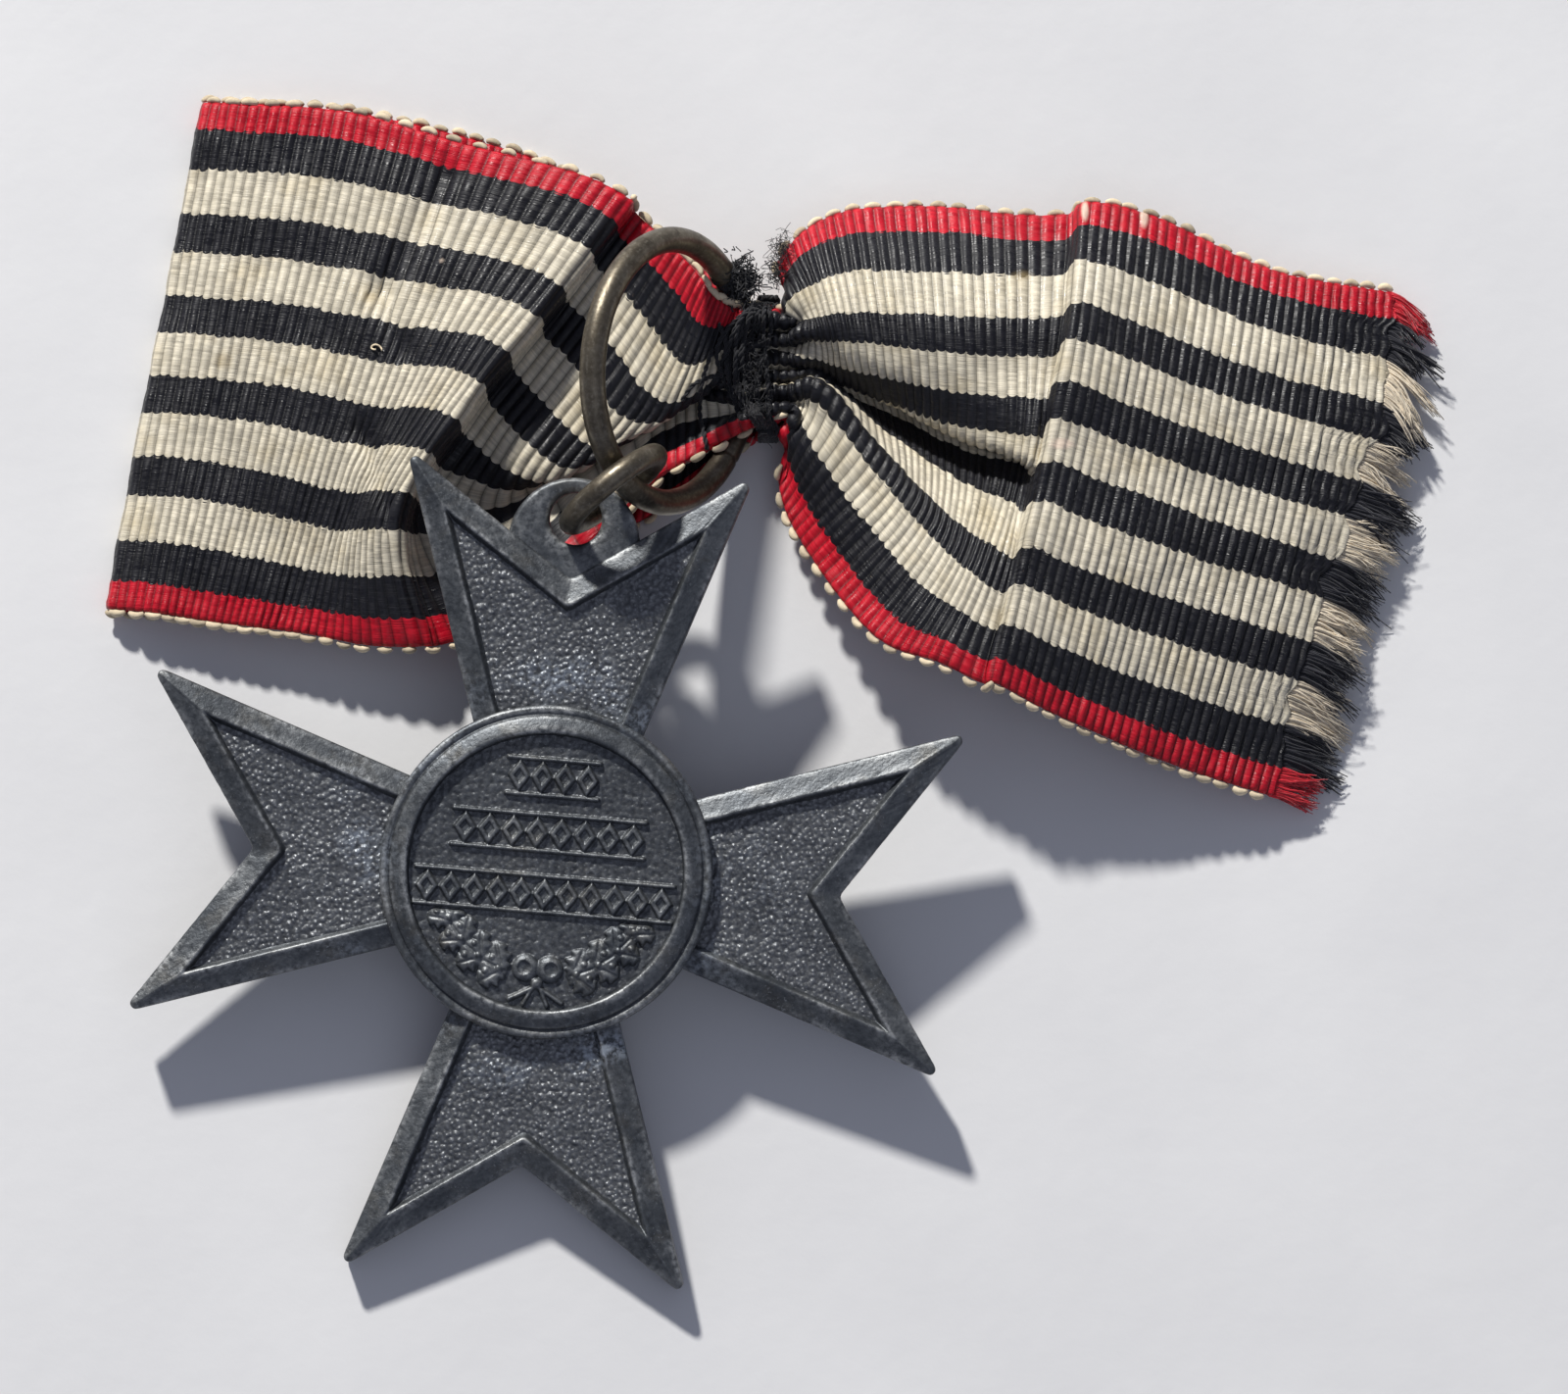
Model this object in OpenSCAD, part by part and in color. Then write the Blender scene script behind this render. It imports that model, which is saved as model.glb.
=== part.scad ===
// Service medal: an eight-pointed zinc cross that hangs from a jump ring and a
// larger ribbon ring, with a striped grosgrain ribbon threaded through that ring.
// The medal lies on a table: +Z is up and z = 0 is the table.

/* [Cross] */
// Distance across opposite points of the cross, before they are rounded
cross_span = 42.6; // [38:0.1:44]
// Distance between the two points of one arm, before they are rounded
arm_tip_gap = 18.1; // [16:0.1:18.5]
// Radius to which each point is rounded
tip_round = 0.3; // [0.1:0.05:0.4]
// Distance from the centre to the notch between two points
notch_depth = 15.15; // [14.5:0.05:15.6]
// Half the width of an arm at its root
arm_root_half = 1.9; // [1.5:0.1:2.3]
// Thickness at the raised border
border_thick = 2.1; // [1.8:0.1:2.4]
// Width of the raised border
border_width = 1.2; // [0.9:0.1:1.4]
// Height of the border above the field inside it
border_rise = 0.4; // [0.2:0.05:0.5]
// Radius of the round medallion
medallion_r = 8.6; // [7.8:0.1:8.8]
// Height of the medallion above the border
medallion_rise = 0.7; // [0.4:0.1:0.9]
// Radius of the hole in the suspension lug
lug_hole_r = 1.35; // [1.3:0.05:1.4]
// Lift of the upper points, which lean on the ribbon
cross_tilt = 9; // [8:0.5:10]

/* [Rings] */
// Radius of the ribbon ring, to the middle of its wire
ribbon_ring_r = 6.8; // [6.6:0.05:6.9]
// Thickness of the ribbon ring's wire
ribbon_ring_wire = 1.36; // [1.2:0.02:1.36]
// Radius of the jump ring, to the middle of its wire
jump_ring_r = 2.8; // [2.75:0.01:2.82]
// Thickness of the jump ring's wire
jump_ring_wire = 1.2; // [1.1:0.02:1.2]

/* [Ribbon] */
// Thickness of the ribbon
ribbon_thick = 0.4; // [0.3:0.05:0.45]
// Length of the frayed yarns at the cut end
fray_length = 3; // [1:0.1:3]
// Thickness of the layer of binding thread
thread_thick = 0.3; // [0.2:0.05:0.3]

/* [Hidden] */
$fn = 96;

zinc = "slategray";
old_wire = "dimgray";
cloth_light = "antiquewhite";
cloth_mid = "tan";
thread_black = "black";

// ---- Cross ----
plate_thick = border_thick - border_rise;
cross_centre = [-12.25, -9.95, 4.37];
cross_turn = -4.8;
tip_x = arm_tip_gap / 2;
tip_y = cross_span / 2;
lug_r = 3.4;
lug_centre_y = 17;
lug_hole_y = 18.3;
lug_thick = 1.4;
medallion_ledge = 0.45;
medallion_band = 0.95;
medallion_field_drop = 0.45;

// Where the line through a and b meets the line through c and d
function line_meet(a, b, c, d) =
    let (r = b - a, s = d - c, k = r.x * s.y - r.y * s.x,
         t = ((c.x - a.x) * s.y - (c.y - a.y) * s.x) / k)
    a + t * r;

// A point beside the line from a to b, gap to its left
function beside(p, a, b, gap) =
    let (v = b - a, u = v / norm(v))
    p + gap * [-u.y, u.x];

// Right half of one arm: root, tip, notch
arm_root = [arm_root_half, 0];
arm_tip = [tip_x, tip_y];
arm_notch = [0, notch_depth];
field_side_a = beside(arm_root, arm_root, arm_tip, border_width);
field_side_b = beside(arm_tip, arm_root, arm_tip, border_width);
field_end_a = beside(arm_tip, arm_tip, arm_notch, border_width);
field_end_b = beside(arm_notch, arm_tip, arm_notch, border_width);
field_tip = line_meet(field_side_a, field_side_b, field_end_a, field_end_b);
field_notch = line_meet(field_end_a, field_end_b, [0, 0], [0, 1]);
field_root = line_meet(field_side_a, field_side_b, [0, 4], [1, 4]);

function mirrored(p) = [-p.x, p.y];

module arm_outline() {
    offset(r = tip_round, $fn = 48)
        offset(delta = -tip_round)
            polygon([arm_root, arm_tip, arm_notch, mirrored(arm_tip), mirrored(arm_root)]);
}

module field_outline() {
    polygon([field_root, field_tip, field_notch, mirrored(field_tip), mirrored(field_root)]);
}

module arm() {
    difference() {
        linear_extrude(border_thick) arm_outline();
        translate([0, 0, plate_thick])
            linear_extrude(border_thick) field_outline();
    }
}

module medallion() {
    top = border_thick + medallion_rise;
    rotate_extrude()
        polygon([
            [0, 0],
            [medallion_r, 0],
            [medallion_r, top - 0.5],
            [medallion_r - medallion_ledge, top - 0.4],
            [medallion_r - medallion_ledge - 0.1, top - 0.25],
            [medallion_r - medallion_ledge - medallion_band, top],
            [medallion_r - medallion_ledge - medallion_band - 0.15, top - medallion_field_drop],
            [0, top - medallion_field_drop],
        ]);
}

module lug() {
    translate([0, 0, (border_thick - lug_thick) / 2])
        difference() {
            union() {
                translate([0, lug_centre_y, 0])
                    cylinder(r = lug_r, h = lug_thick);
                translate([-lug_r * 0.6, 12, 0])
                    cube([lug_r * 1.2, 5, lug_thick]);
            }
            translate([0, lug_hole_y, -1])
                cylinder(r = lug_hole_r, h = lug_thick + 2);
        }
}

module cross() {
    color(zinc)
        translate(cross_centre)
            rotate([0, 0, cross_turn])
                rotate([cross_tilt, 0, 0])
                    translate([0, 0, -border_thick / 2])
                        difference() {
                            union() {
                                for (quarter = [0:3])
                                    rotate(90 * quarter) arm();
                                medallion();
                                lug();
                            }
                            translate([0, lug_hole_y, -1])
                                cylinder(r = lug_hole_r, h = border_thick + 2);
                        }
}

// ---- Rings ----
ribbon_ring_centre = [-5.9, 15.9, 6.95];
ribbon_ring_turn = -10;
ribbon_ring_tilt = 56;
jump_ring_centre = [-8.8, 9.4, 8.35];
jump_ring_turn = 38;

module wire_ring(r, wire) {
    rotate_extrude()
        translate([r, 0]) circle(d = wire, $fn = 48);
}

module jump_ring() {
    color(old_wire)
        translate(jump_ring_centre)
            rotate([0, 0, jump_ring_turn])
                rotate([90, 0, 0])
                    wire_ring(jump_ring_r, jump_ring_wire);
}

module ribbon_ring() {
    color(old_wire)
        translate(ribbon_ring_centre)
            rotate([0, 0, ribbon_ring_turn])
                rotate([0, ribbon_ring_tilt, 0])
                    wire_ring(ribbon_ring_r, ribbon_ring_wire);
}

// ---- Ribbon ----
// Lines across the ribbon from its upper edge to its lower edge, in the order in
// which the strip runs: seam, back layer, left fold, front layer, ridge, valley,
// throat through the ring, seam again, tail, cut end. Each has five points of the
// strip's middle surface, and last the thickness there as a share of ribbon_thick.
BACK = [
    [[0.5, 20.2, 0.5], [0.5, 18.6, 0.5], [0.5, 17, 0.5], [0.5, 15.4, 0.5], [0.5, 14, 0.5], 1],
    [[-0.8, 20.2, 0.5], [-0.8, 18.6, 0.5], [-0.8, 17, 0.5], [-0.8, 15.4, 0.5], [-0.8, 14, 0.5], 1],
    [[-3, 21.5, 0.2], [-3, 19, 0.2], [-3, 16.8, 0.2], [-3, 14.5, 0.2], [-3.2, 12.5, 0.2], 1],
    [[-7, 25.8, 0.2], [-7, 21.3, 0.2], [-7, 17, 0.2], [-7.2, 13, 0.2], [-7.5, 9.3, 0.2], 1],
    [[-13, 29, 0.2], [-13.5, 23, 0.2], [-14, 17.3, 0.2], [-14.5, 11.5, 0.2], [-15, 6, 0.2], 1],
    [[-22, 31, 0.2], [-22.7, 24.2, 0.2], [-23.5, 17.5, 0.2], [-24.3, 10.7, 0.2], [-25, 4, 0.2], 1],
    [[-28.5, 31.6, 0.2], [-29.7, 24.8, 0.2], [-30.9, 18, 0.2], [-32.1, 11.2, 0.2], [-33.3, 4.4, 0.2], 1],
];
FOLD = [
    [[-30.4, 31.5, 0.9], [-31.6, 24.8, 0.9], [-32.8, 18, 0.9], [-34, 11.2, 0.9], [-35.2, 4.5, 0.9], 1],
];
FRONT = [
    [[-28, 31.2, 1.6], [-29.2, 24.5, 1.7], [-30.4, 17.7, 1.8], [-31.6, 11, 1.7], [-32.9, 4.2, 1.6], 1],
    [[-23, 30.7, 2.2], [-24.4, 23.9, 2.5], [-26, 17.1, 2.6], [-27.6, 10.2, 2.3], [-29.3, 3.6, 1.8], 1],
    [[-16.5, 28.6, 3.6], [-18.6, 22.5, 3.8], [-21, 15.8, 3.8], [-23.4, 9, 3], [-25, 3, 2], 1],
    [[-11, 26.2, 4.8], [-14.3, 20.9, 4.9], [-18, 15, 4.8], [-21.4, 8.8, 4.2], [-21.5, 2.3, 2.4], 1],
];
RIDGE = [
    [[-8.4, 25.1, 5.1], [-12.3, 19.8, 5.2], [-16.7, 14.3, 5], [-20, 8.7, 4.5], [-18.8, 2.2, 2.7], 1],
];
VALLEY = [
    [[-8, 24.8, 4.6], [-11.9, 19.5, 4.2], [-16.3, 14, 3.9], [-19.4, 8.7, 3.4], [-17.7, 2.4, 2.2], 1],
    [[-7.5, 24.3, 4.2], [-11.6, 19, 2.8], [-16, 13.5, 2.4], [-18.6, 9, 1.7], [-15.6, 3.3, 1.5], 1],
];
THROAT = [
    [[-5.7, 22.9, 4.3], [-9.7, 17.1, 2.9], [-13.9, 11.6, 2.5], [-14.6, 9.4, 1.1], [-12.6, 5.6, 1.3], 1],
    [[-4.5, 21.6, 4.5], [-7.9, 15.5, 2.9], [-11.4, 11.4, 2.2], [-10.8, 12.2, 1.1], [-9.2, 8.6, 1.4], 1],
    [[-3.7, 20.4, 4.6], [-6.3, 14.6, 3.1], [-8, 13.6, 1.9], [-7, 14.8, 1.1], [-6.6, 11.2, 1.9], 1],
    [[-2.9, 19.9, 4.4], [-4.3, 15.6, 3.4], [-5, 15.9, 2.1], [-4.6, 15.6, 1.6], [-4.6, 12.3, 2.5], 1],
    [[-2, 19.8, 4.1], [-2.2, 18, 3.5], [-2.2, 16.6, 2.9], [-2.2, 15.2, 2.7], [-2.1, 13.7, 3], 1.4],
];
WAIST = [
    [[-0.9, 20, 3.4], [-0.9, 18.5, 3], [-0.9, 17, 2.6], [-0.9, 15.5, 2.5], [-0.9, 14.1, 2.7], 2.5],
    [[0.5, 20, 3.3], [0.5, 18.5, 3.1], [0.5, 17, 2.4], [0.5, 15.5, 2.6], [0.5, 14.1, 2.6], 2.5],
];
GATHER = [
    [[0.9, 22.9, 2.6], [1.6, 18.6, 4.2], [1.8, 16.2, 1.8], [2.4, 14.4, 3], [-0.2, 10.8, 1.6], 1.4],
    [[2.9, 25, 2.3], [3.8, 18.8, 4.9], [4.6, 14.7, 1.6], [5.5, 10.6, 4], [1.2, 7.3, 2.4], 1],
    [[8, 25.6, 2], [8.4, 18.4, 5.3], [8.6, 12.9, 2.4], [8.3, 7.6, 5], [4.7, 2.4, 4.6], 1],
    [[12.2, 25.1, 2.4], [12.2, 18.3, 5.2], [12, 11.8, 4], [10.3, 5.7, 5.8], [7.9, 0.5, 5.7], 1],
    [[14.9, 25.1, 2.5], [14.4, 18.4, 5.2], [13.2, 11.6, 5], [11.6, 4.9, 5.9], [10.2, -0.6, 5.8], 1],
];
CREASE = [
    [[15.9, 25.6, 3.2], [15.2, 19, 5.9], [14, 12.4, 6.2], [12.4, 5.4, 6.4], [11, -0.6, 6.1], 1],
];
TAIL = [
    [[19.4, 24.9, 3], [18.5, 18, 5], [17.3, 11.3, 5.4], [15.6, 4.2, 5.6], [14, -1.8, 5.2], 1],
    [[25.8, 23, 2.2], [24.8, 16.2, 3.4], [23.4, 9.4, 3.8], [21.6, 2.5, 3.8], [19.8, -4, 3.2], 1],
    [[32.6, 21.2, 0.9], [31.9, 14.4, 1.5], [30.6, 7.6, 1.7], [28.8, 0.8, 1.5], [26.6, -5.8, 0.9], 1],
];
STRIP = concat(BACK, FOLD, FRONT, RIDGE, VALLEY, THROAT, WAIST, GATHER, CREASE, TAIL);

along_steps = 3;
across_steps = 3;

function blend_point(a, b, c, d, t) =
    0.5 * ((2 * b) + (c - a) * t + (2 * a - 5 * b + 4 * c - d) * t * t
           + (3 * b - a - 3 * c + d) * t * t * t);

function clamp_index(i, n) = max(0, min(n - 1, i));

// A smooth curve through every point of a list, with steps points to each gap
function smooth(list, steps) =
    let (n = len(list))
    [for (i = [0:n - 2], k = [0:steps - 1])
        blend_point(list[clamp_index(i - 1, n)], list[i], list[i + 1],
                    list[clamp_index(i + 2, n)], k / steps),
     list[n - 1]];

function column(list, j) = [for (row = list) row[j]];
function lifted(p, low) = [p.x, p.y, max(p.z, low)];

// The strip's middle surface, smooth both ways: grid[i][j] is i along, j across
stations = 5;
strip_lanes = [for (j = [0:stations - 1]) smooth(column(STRIP, j), along_steps)];
strip_grid = [for (i = [0:len(strip_lanes[0]) - 1])
    [for (p = smooth([for (j = [0:stations - 1]) strip_lanes[j][i]], across_steps))
        lifted(p, ribbon_thick / 2)]];
strip_thick = [for (share = smooth(column(STRIP, stations), along_steps)) share * ribbon_thick];

function unit(v) = v / norm(v);

// The strip's normal at one place of the grid
function strip_normal(i, j) =
    let (rows = len(strip_grid), cols = len(strip_grid[0]),
         along = strip_grid[clamp_index(i + 1, rows)][j] - strip_grid[clamp_index(i - 1, rows)][j],
         across = strip_grid[i][clamp_index(j + 1, cols)] - strip_grid[i][clamp_index(j - 1, cols)])
    unit(cross(along, across));

// The stretch of the strip between two of its lines, as one closed solid
module stretch(first, last) {
    from = first * along_steps;
    upto = last * along_steps;
    rows = upto - from + 1;
    cols = len(strip_grid[0]);
    side = rows * cols;
    faces_of = function (a, b, c, d) [[a, b, c], [a, c, d]];
    points = [for (face = [-1, 1], i = [from:upto], j = [0:cols - 1])
        strip_grid[i][j] + face * strip_normal(i, j) * strip_thick[i] / 2];
    skin = [for (i = [0:rows - 2], j = [0:cols - 2])
        let (a = i * cols + j, b = a + 1, c = a + cols + 1, d = a + cols)
        each concat(faces_of(a, d, c, b), faces_of(side + a, side + b, side + c, side + d))];
    ends = [for (j = [0:cols - 2])
        let (a = j, b = j + 1, c = (rows - 1) * cols + j, d = c + 1)
        each concat(faces_of(a, b, side + b, side + a), faces_of(d, c, side + c, side + d))];
    edges = [for (i = [0:rows - 2])
        let (a = i * cols, b = a + cols, c = a + cols - 1, d = b + cols - 1)
        each concat(faces_of(b, a, side + a, side + b), faces_of(c, d, side + d, side + c))];
    polyhedron(points, concat(skin, ends, edges), convexity = 8);
}

fold_line = len(BACK) - 1;
front_line = fold_line + 2;
ridge_line = len(BACK) + len(FOLD) + len(FRONT);
throat_line = ridge_line + len(VALLEY);
waist_line = throat_line + len(THROAT) + 1;
gather_line = waist_line + 1;
crease_line = gather_line + len(GATHER) + 1;
end_line = len(STRIP) - 1;

module ribbon_back() { color(cloth_mid) stretch(0, fold_line); }
module ribbon_left_fold() { color(cloth_light) stretch(fold_line, front_line); }
module ribbon_front() { color(cloth_light) stretch(front_line, ridge_line); }
module ribbon_valley() { color(cloth_mid) stretch(ridge_line, throat_line); }
module ribbon_throat() { color(cloth_light) stretch(throat_line, waist_line); }
module ribbon_waist() { color(cloth_mid) stretch(waist_line, gather_line); }
module ribbon_tail_gather() { color(cloth_light) stretch(gather_line, crease_line); }
module ribbon_tail() { color(cloth_mid) stretch(crease_line, end_line); }

// ---- Binding thread ----
thread_left = -0.85;
thread_width = 1.2;
thread_low = 0;
thread_high = 4.6;
thread_near = 13.2;
thread_far = 20.9;
thread_corner = 1;

module rounded_band(inset) {
    r = thread_corner - inset;
    low = thread_low + inset;
    high = thread_high - inset;
    near = thread_near + inset;
    far = thread_far - inset;
    translate([near + r, low]) square([far - near - 2 * r, high - low]);
    translate([near, low + r]) square([far - near, high - low - 2 * r]);
    for (y = [near + r, far - r], z = [low + r, high - r])
        translate([y, z]) circle(r = r);
}

module binding_thread() {
    color(thread_black)
        translate([thread_left, 0, 0])
            rotate([90, 0, 90])
                linear_extrude(thread_width)
                    difference() {
                        rounded_band(0);
                        rounded_band(thread_thick);
                    }
}

module thread_tuft() {
    color(thread_black)
        translate([-0.2, 21.9, 3.6]) sphere(r = 0.8);
}

// ---- Frayed end ----
stripe_shares = [1.65, 2.05, 2.28, 2.05, 2.28, 2.05, 2.28, 2.05, 2.28, 2.05, 2.28, 2.05, 1.65];
stripe_total = 27;
stripe_starts = [for (i = 0, s = 0; i < 13; s = s + stripe_shares[i], i = i + 1) s / stripe_total];
tufts_per_stripe = 3;

function end_point(share) =
    let (row = strip_grid[len(strip_grid) - 1], t = share * (len(row) - 1),
         i = min(floor(t), len(row) - 2))
    row[i] + (t - i) * (row[i + 1] - row[i]);

// A thin blade of yarns from the cut edge: base corners, then a point
module yarn_blade(a, b, tip) {
    half = [0, 0, 0.12];
    polyhedron(
        [a - half, b - half, a + half, b + half, tip - half / 2, tip + half / 2],
        [[0, 2, 3], [0, 3, 1], [0, 1, 4], [2, 5, 3], [0, 4, 5], [0, 5, 2], [1, 3, 5], [1, 5, 4]]);
}

module fray(first, step, last) {
    last_row = len(strip_grid) - 1;
    away = unit(strip_grid[last_row][6] - strip_grid[last_row - 1][6]);
    for (s = [first:step:last], k = [0:tufts_per_stripe - 1]) {
        width = stripe_shares[s] / stripe_total / tufts_per_stripe;
        from = stripe_starts[s] + k * width;
        reach = fray_length * (0.65 + 0.35 * cos(150 * (s * 2 + k)));
        middle = end_point(from + width / 2);
        tip = middle + [away.x, away.y, -0.2] * reach;
        yarn_blade(end_point(from + width * 0.1), end_point(from + width * 0.9), tip);
    }
}

module fray_red() { color("crimson") fray(0, 12, 12); }
module fray_black() { color("black") fray(1, 2, 11); }
module fray_white() { color("ivory") fray(2, 2, 10); }

cross();
jump_ring();
ribbon_ring();
ribbon_back();
ribbon_left_fold();
ribbon_front();
ribbon_valley();
ribbon_throat();
ribbon_waist();
ribbon_tail_gather();
ribbon_tail();
binding_thread();
thread_tuft();
fray_red();
fray_black();
fray_white();
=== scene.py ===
import math

import bpy
import numpy as np
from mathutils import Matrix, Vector
from mathutils.bvhtree import BVHTree


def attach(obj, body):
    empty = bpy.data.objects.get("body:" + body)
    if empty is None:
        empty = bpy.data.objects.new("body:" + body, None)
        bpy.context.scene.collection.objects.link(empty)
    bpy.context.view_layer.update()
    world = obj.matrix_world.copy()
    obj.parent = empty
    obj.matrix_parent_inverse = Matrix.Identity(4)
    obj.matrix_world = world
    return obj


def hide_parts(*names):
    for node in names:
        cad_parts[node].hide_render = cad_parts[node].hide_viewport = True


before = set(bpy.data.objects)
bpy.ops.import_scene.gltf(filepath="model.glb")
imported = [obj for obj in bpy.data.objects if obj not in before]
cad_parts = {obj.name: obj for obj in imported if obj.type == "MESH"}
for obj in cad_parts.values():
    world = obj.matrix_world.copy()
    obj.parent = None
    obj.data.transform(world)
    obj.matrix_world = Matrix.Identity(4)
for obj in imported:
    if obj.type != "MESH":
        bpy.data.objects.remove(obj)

MM = 0.001
TURN = 2 * math.pi
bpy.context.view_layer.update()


def add_object(name, data):
    thing = bpy.data.objects.new(name, data)
    bpy.context.scene.collection.objects.link(thing)
    return thing


# ---- Camera: over the medal, leaning 10 degrees from straight above towards its lower end ----
DISTANCE = 0.6
ELEVATION = math.radians(80)
SEEN_WIDTH = 0.0817231
SENSOR_WIDTH = 36
camera_data = bpy.data.cameras.new("camera")
camera_data.sensor_width = SENSOR_WIDTH
camera_data.lens = SENSOR_WIDTH * DISTANCE / SEEN_WIDTH
camera_data.clip_start = 0.01
camera_data.clip_end = 20
camera = add_object("camera", camera_data)
camera.location = (0, -DISTANCE * math.cos(ELEVATION), DISTANCE * math.sin(ELEVATION))
camera.rotation_euler = (math.radians(90) - ELEVATION, 0, 0)
bpy.context.scene.camera = camera


# ---- Mesh helpers, all in millimetres ----
def add_piece(name, points, quads, body, slot, material, replaced=(), **fields):
    """Makes one smooth piece from points, faces of four corners and named values at each point."""
    points = np.asarray(points, dtype=np.float32) * MM
    quads = np.asarray(quads, dtype=np.int32)
    mesh = bpy.data.meshes.new(name)
    mesh.vertices.add(len(points))
    mesh.vertices.foreach_set("co", points.ravel())
    mesh.loops.add(quads.size)
    mesh.loops.foreach_set("vertex_index", quads.ravel())
    mesh.polygons.add(len(quads))
    mesh.polygons.foreach_set("loop_start", np.arange(0, quads.size, 4, dtype=np.int32))
    mesh.update(calc_edges=True)
    mesh.polygons.foreach_set("use_smooth", np.ones(len(quads), dtype=bool))
    for key, values in fields.items():
        layer = mesh.attributes.new(key, "FLOAT", "POINT")
        layer.data.foreach_set("value", np.asarray(values, dtype=np.float32).ravel())
    mesh.materials.append(material)
    mesh.validate()
    piece = add_object(name, mesh)
    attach(piece, body)
    if replaced:
        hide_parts(*replaced)
    return piece


def grid_quads(rows, cols, wrap=False, closed=False, first=0):
    """The faces of a grid of points in rows; wrap joins each row's ends, closed the outer rows."""
    i = np.arange(rows if closed else rows - 1)[:, None]
    j = np.arange(cols if wrap else cols - 1)[None, :]
    below = (i + 1) % rows
    beside = (j + 1) % cols
    corners = [i * cols + j, below * cols + j, below * cols + beside, i * cols + beside]
    return np.stack(corners, axis=-1).reshape(-1, 4) + first


class Gathered:
    """Several meshes gathered into one, with one or more values at each point."""

    def __init__(self):
        self.points = []
        self.quads = []
        self.values = []
        self.count = 0

    def add(self, points, quads, *values):
        points = np.asarray(points, float).reshape(-1, 3)
        self.points.append(points)
        self.quads.append(quads + self.count)
        self.values.append([np.broadcast_to(np.ravel(value), len(points)) for value in values])
        self.count += len(points)

    def all(self):
        values = [np.concatenate(kind) for kind in zip(*self.values)]
        return np.concatenate(self.points), np.concatenate(self.quads), values


def circle(count):
    """Evenly spaced angles once round."""
    return np.linspace(0, TURN, count, endpoint=False)


def unit(v):
    """Rows of vectors brought to length 1."""
    return v / np.maximum(np.linalg.norm(v, axis=-1, keepdims=True), 1e-9)


def tube(path, radius, sides):
    """A tube round a path of points, closed by shrinking to nothing at both ends."""
    path = np.asarray(path, float)
    along = unit(np.gradient(path, axis=0))
    side = np.zeros_like(path)
    last = np.array([0.0, 0.0, 1.0])
    if abs(along[0, 2]) > 0.9:
        last = np.array([1.0, 0.0, 0.0])
    for i, direction in enumerate(along):
        last = last - direction * last.dot(direction)
        last = last / max(np.linalg.norm(last), 1e-9)
        side[i] = last
    other = np.cross(along, side)
    angle = circle(sides)
    ring = side[:, None] * np.cos(angle)[None, :, None] + other[:, None] * np.sin(angle)[None, :, None]
    ring = np.pad(ring, ((1, 1), (0, 0), (0, 0)), mode="edge")
    radius = np.pad(np.broadcast_to(radius, len(path)), 1)
    path = np.pad(path, ((1, 1), (0, 0)), mode="edge")
    points = path[:, None] + ring * radius[:, None, None]
    return points.reshape(-1, 3), grid_quads(len(path), sides, wrap=True)


def waves(seed, count, low, high):
    """A smooth random field over two coordinates: sine waves with lengths from low to high."""
    rng = np.random.default_rng(seed)
    turn = rng.uniform(0, TURN, count)
    rate = TURN / rng.uniform(low, high, count)
    shift = rng.uniform(0, TURN, count)

    def field(x, y):
        total = 0.0
        for k in range(count):
            total = total + np.sin((x * math.cos(turn[k]) + y * math.sin(turn[k])) * rate[k] + shift[k])
        return total / math.sqrt(count / 2)

    return field


def ease(x):
    """A smooth step from 0 to 1."""
    x = np.clip(x, 0, 1)
    return x * x * (3 - 2 * x)


def between(x, start, rise, stop, fall):
    """1 from start + rise to stop, and eased to 0 outside start and stop + fall."""
    return ease((x - start) / rise) * (1 - ease((x - stop) / fall))


def distance_to_line(x, y, first, second):
    """How far places lie from the straight line between two others."""
    way = np.array(second) - np.array(first)
    x = x - first[0]
    y = y - first[1]
    t = np.clip((x * way[0] + y * way[1]) / way.dot(way), 0, 1)
    return np.hypot(x - t * way[0], y - t * way[1])


# ---- Material helpers ----
def add_node(tree, kind, inputs=None, **settings):
    node = tree.nodes.new("ShaderNode" + kind)
    for key, value in settings.items():
        setattr(node, key, value)
    for key, value in (inputs or {}).items():
        if isinstance(value, bpy.types.NodeSocket):
            tree.links.new(value, node.inputs[key])
        else:
            node.inputs[key].default_value = value
    return node


def calc(tree, operation, *values):
    node = add_node(tree, "Math", dict(enumerate(values)), operation=operation)
    return node.outputs[0]


# The colour sockets of a Mix node, whose names its other kinds of value share
MIX_SHARE = 0
MIX_FIRST = 6
MIX_SECOND = 7
MIX_RESULT = 2


def mixed(tree, share, a, b, blend="MIX"):
    inputs = {MIX_SHARE: share, MIX_FIRST: a, MIX_SECOND: b}
    node = add_node(tree, "Mix", inputs, data_type="RGBA", blend_type=blend)
    return node.outputs[MIX_RESULT]


def ramp(tree, value, *stops, how="LINEAR"):
    """A colour ramp from stops of (place, colour), or (place, grey level)."""
    node = add_node(tree, "ValToRGB", {"Fac": value})
    node.color_ramp.interpolation = how
    elements = node.color_ramp.elements
    while len(elements) < len(stops):
        elements.new(0.5)
    for element, (place, colour) in zip(elements, stops):
        element.position = place
        if not hasattr(colour, "__len__"):
            colour = (colour, colour, colour)
        element.color = (*colour, 1)
    return node.outputs["Color"]


def millimetres(tree):
    """The piece's own coordinates in millimetres."""
    place = add_node(tree, "TexCoord").outputs["Object"]
    size = (1 / MM, 1 / MM, 1 / MM)
    return add_node(tree, "Mapping", {"Vector": place, "Scale": size}).outputs[0]


def noise(tree, where, scale, detail=4.0, rough=0.55, distortion=0.0):
    inputs = {"Vector": where, "Scale": scale, "Detail": detail}
    inputs.update({"Roughness": rough, "Distortion": distortion})
    return add_node(tree, "TexNoise", inputs).outputs["Fac"]


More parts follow.
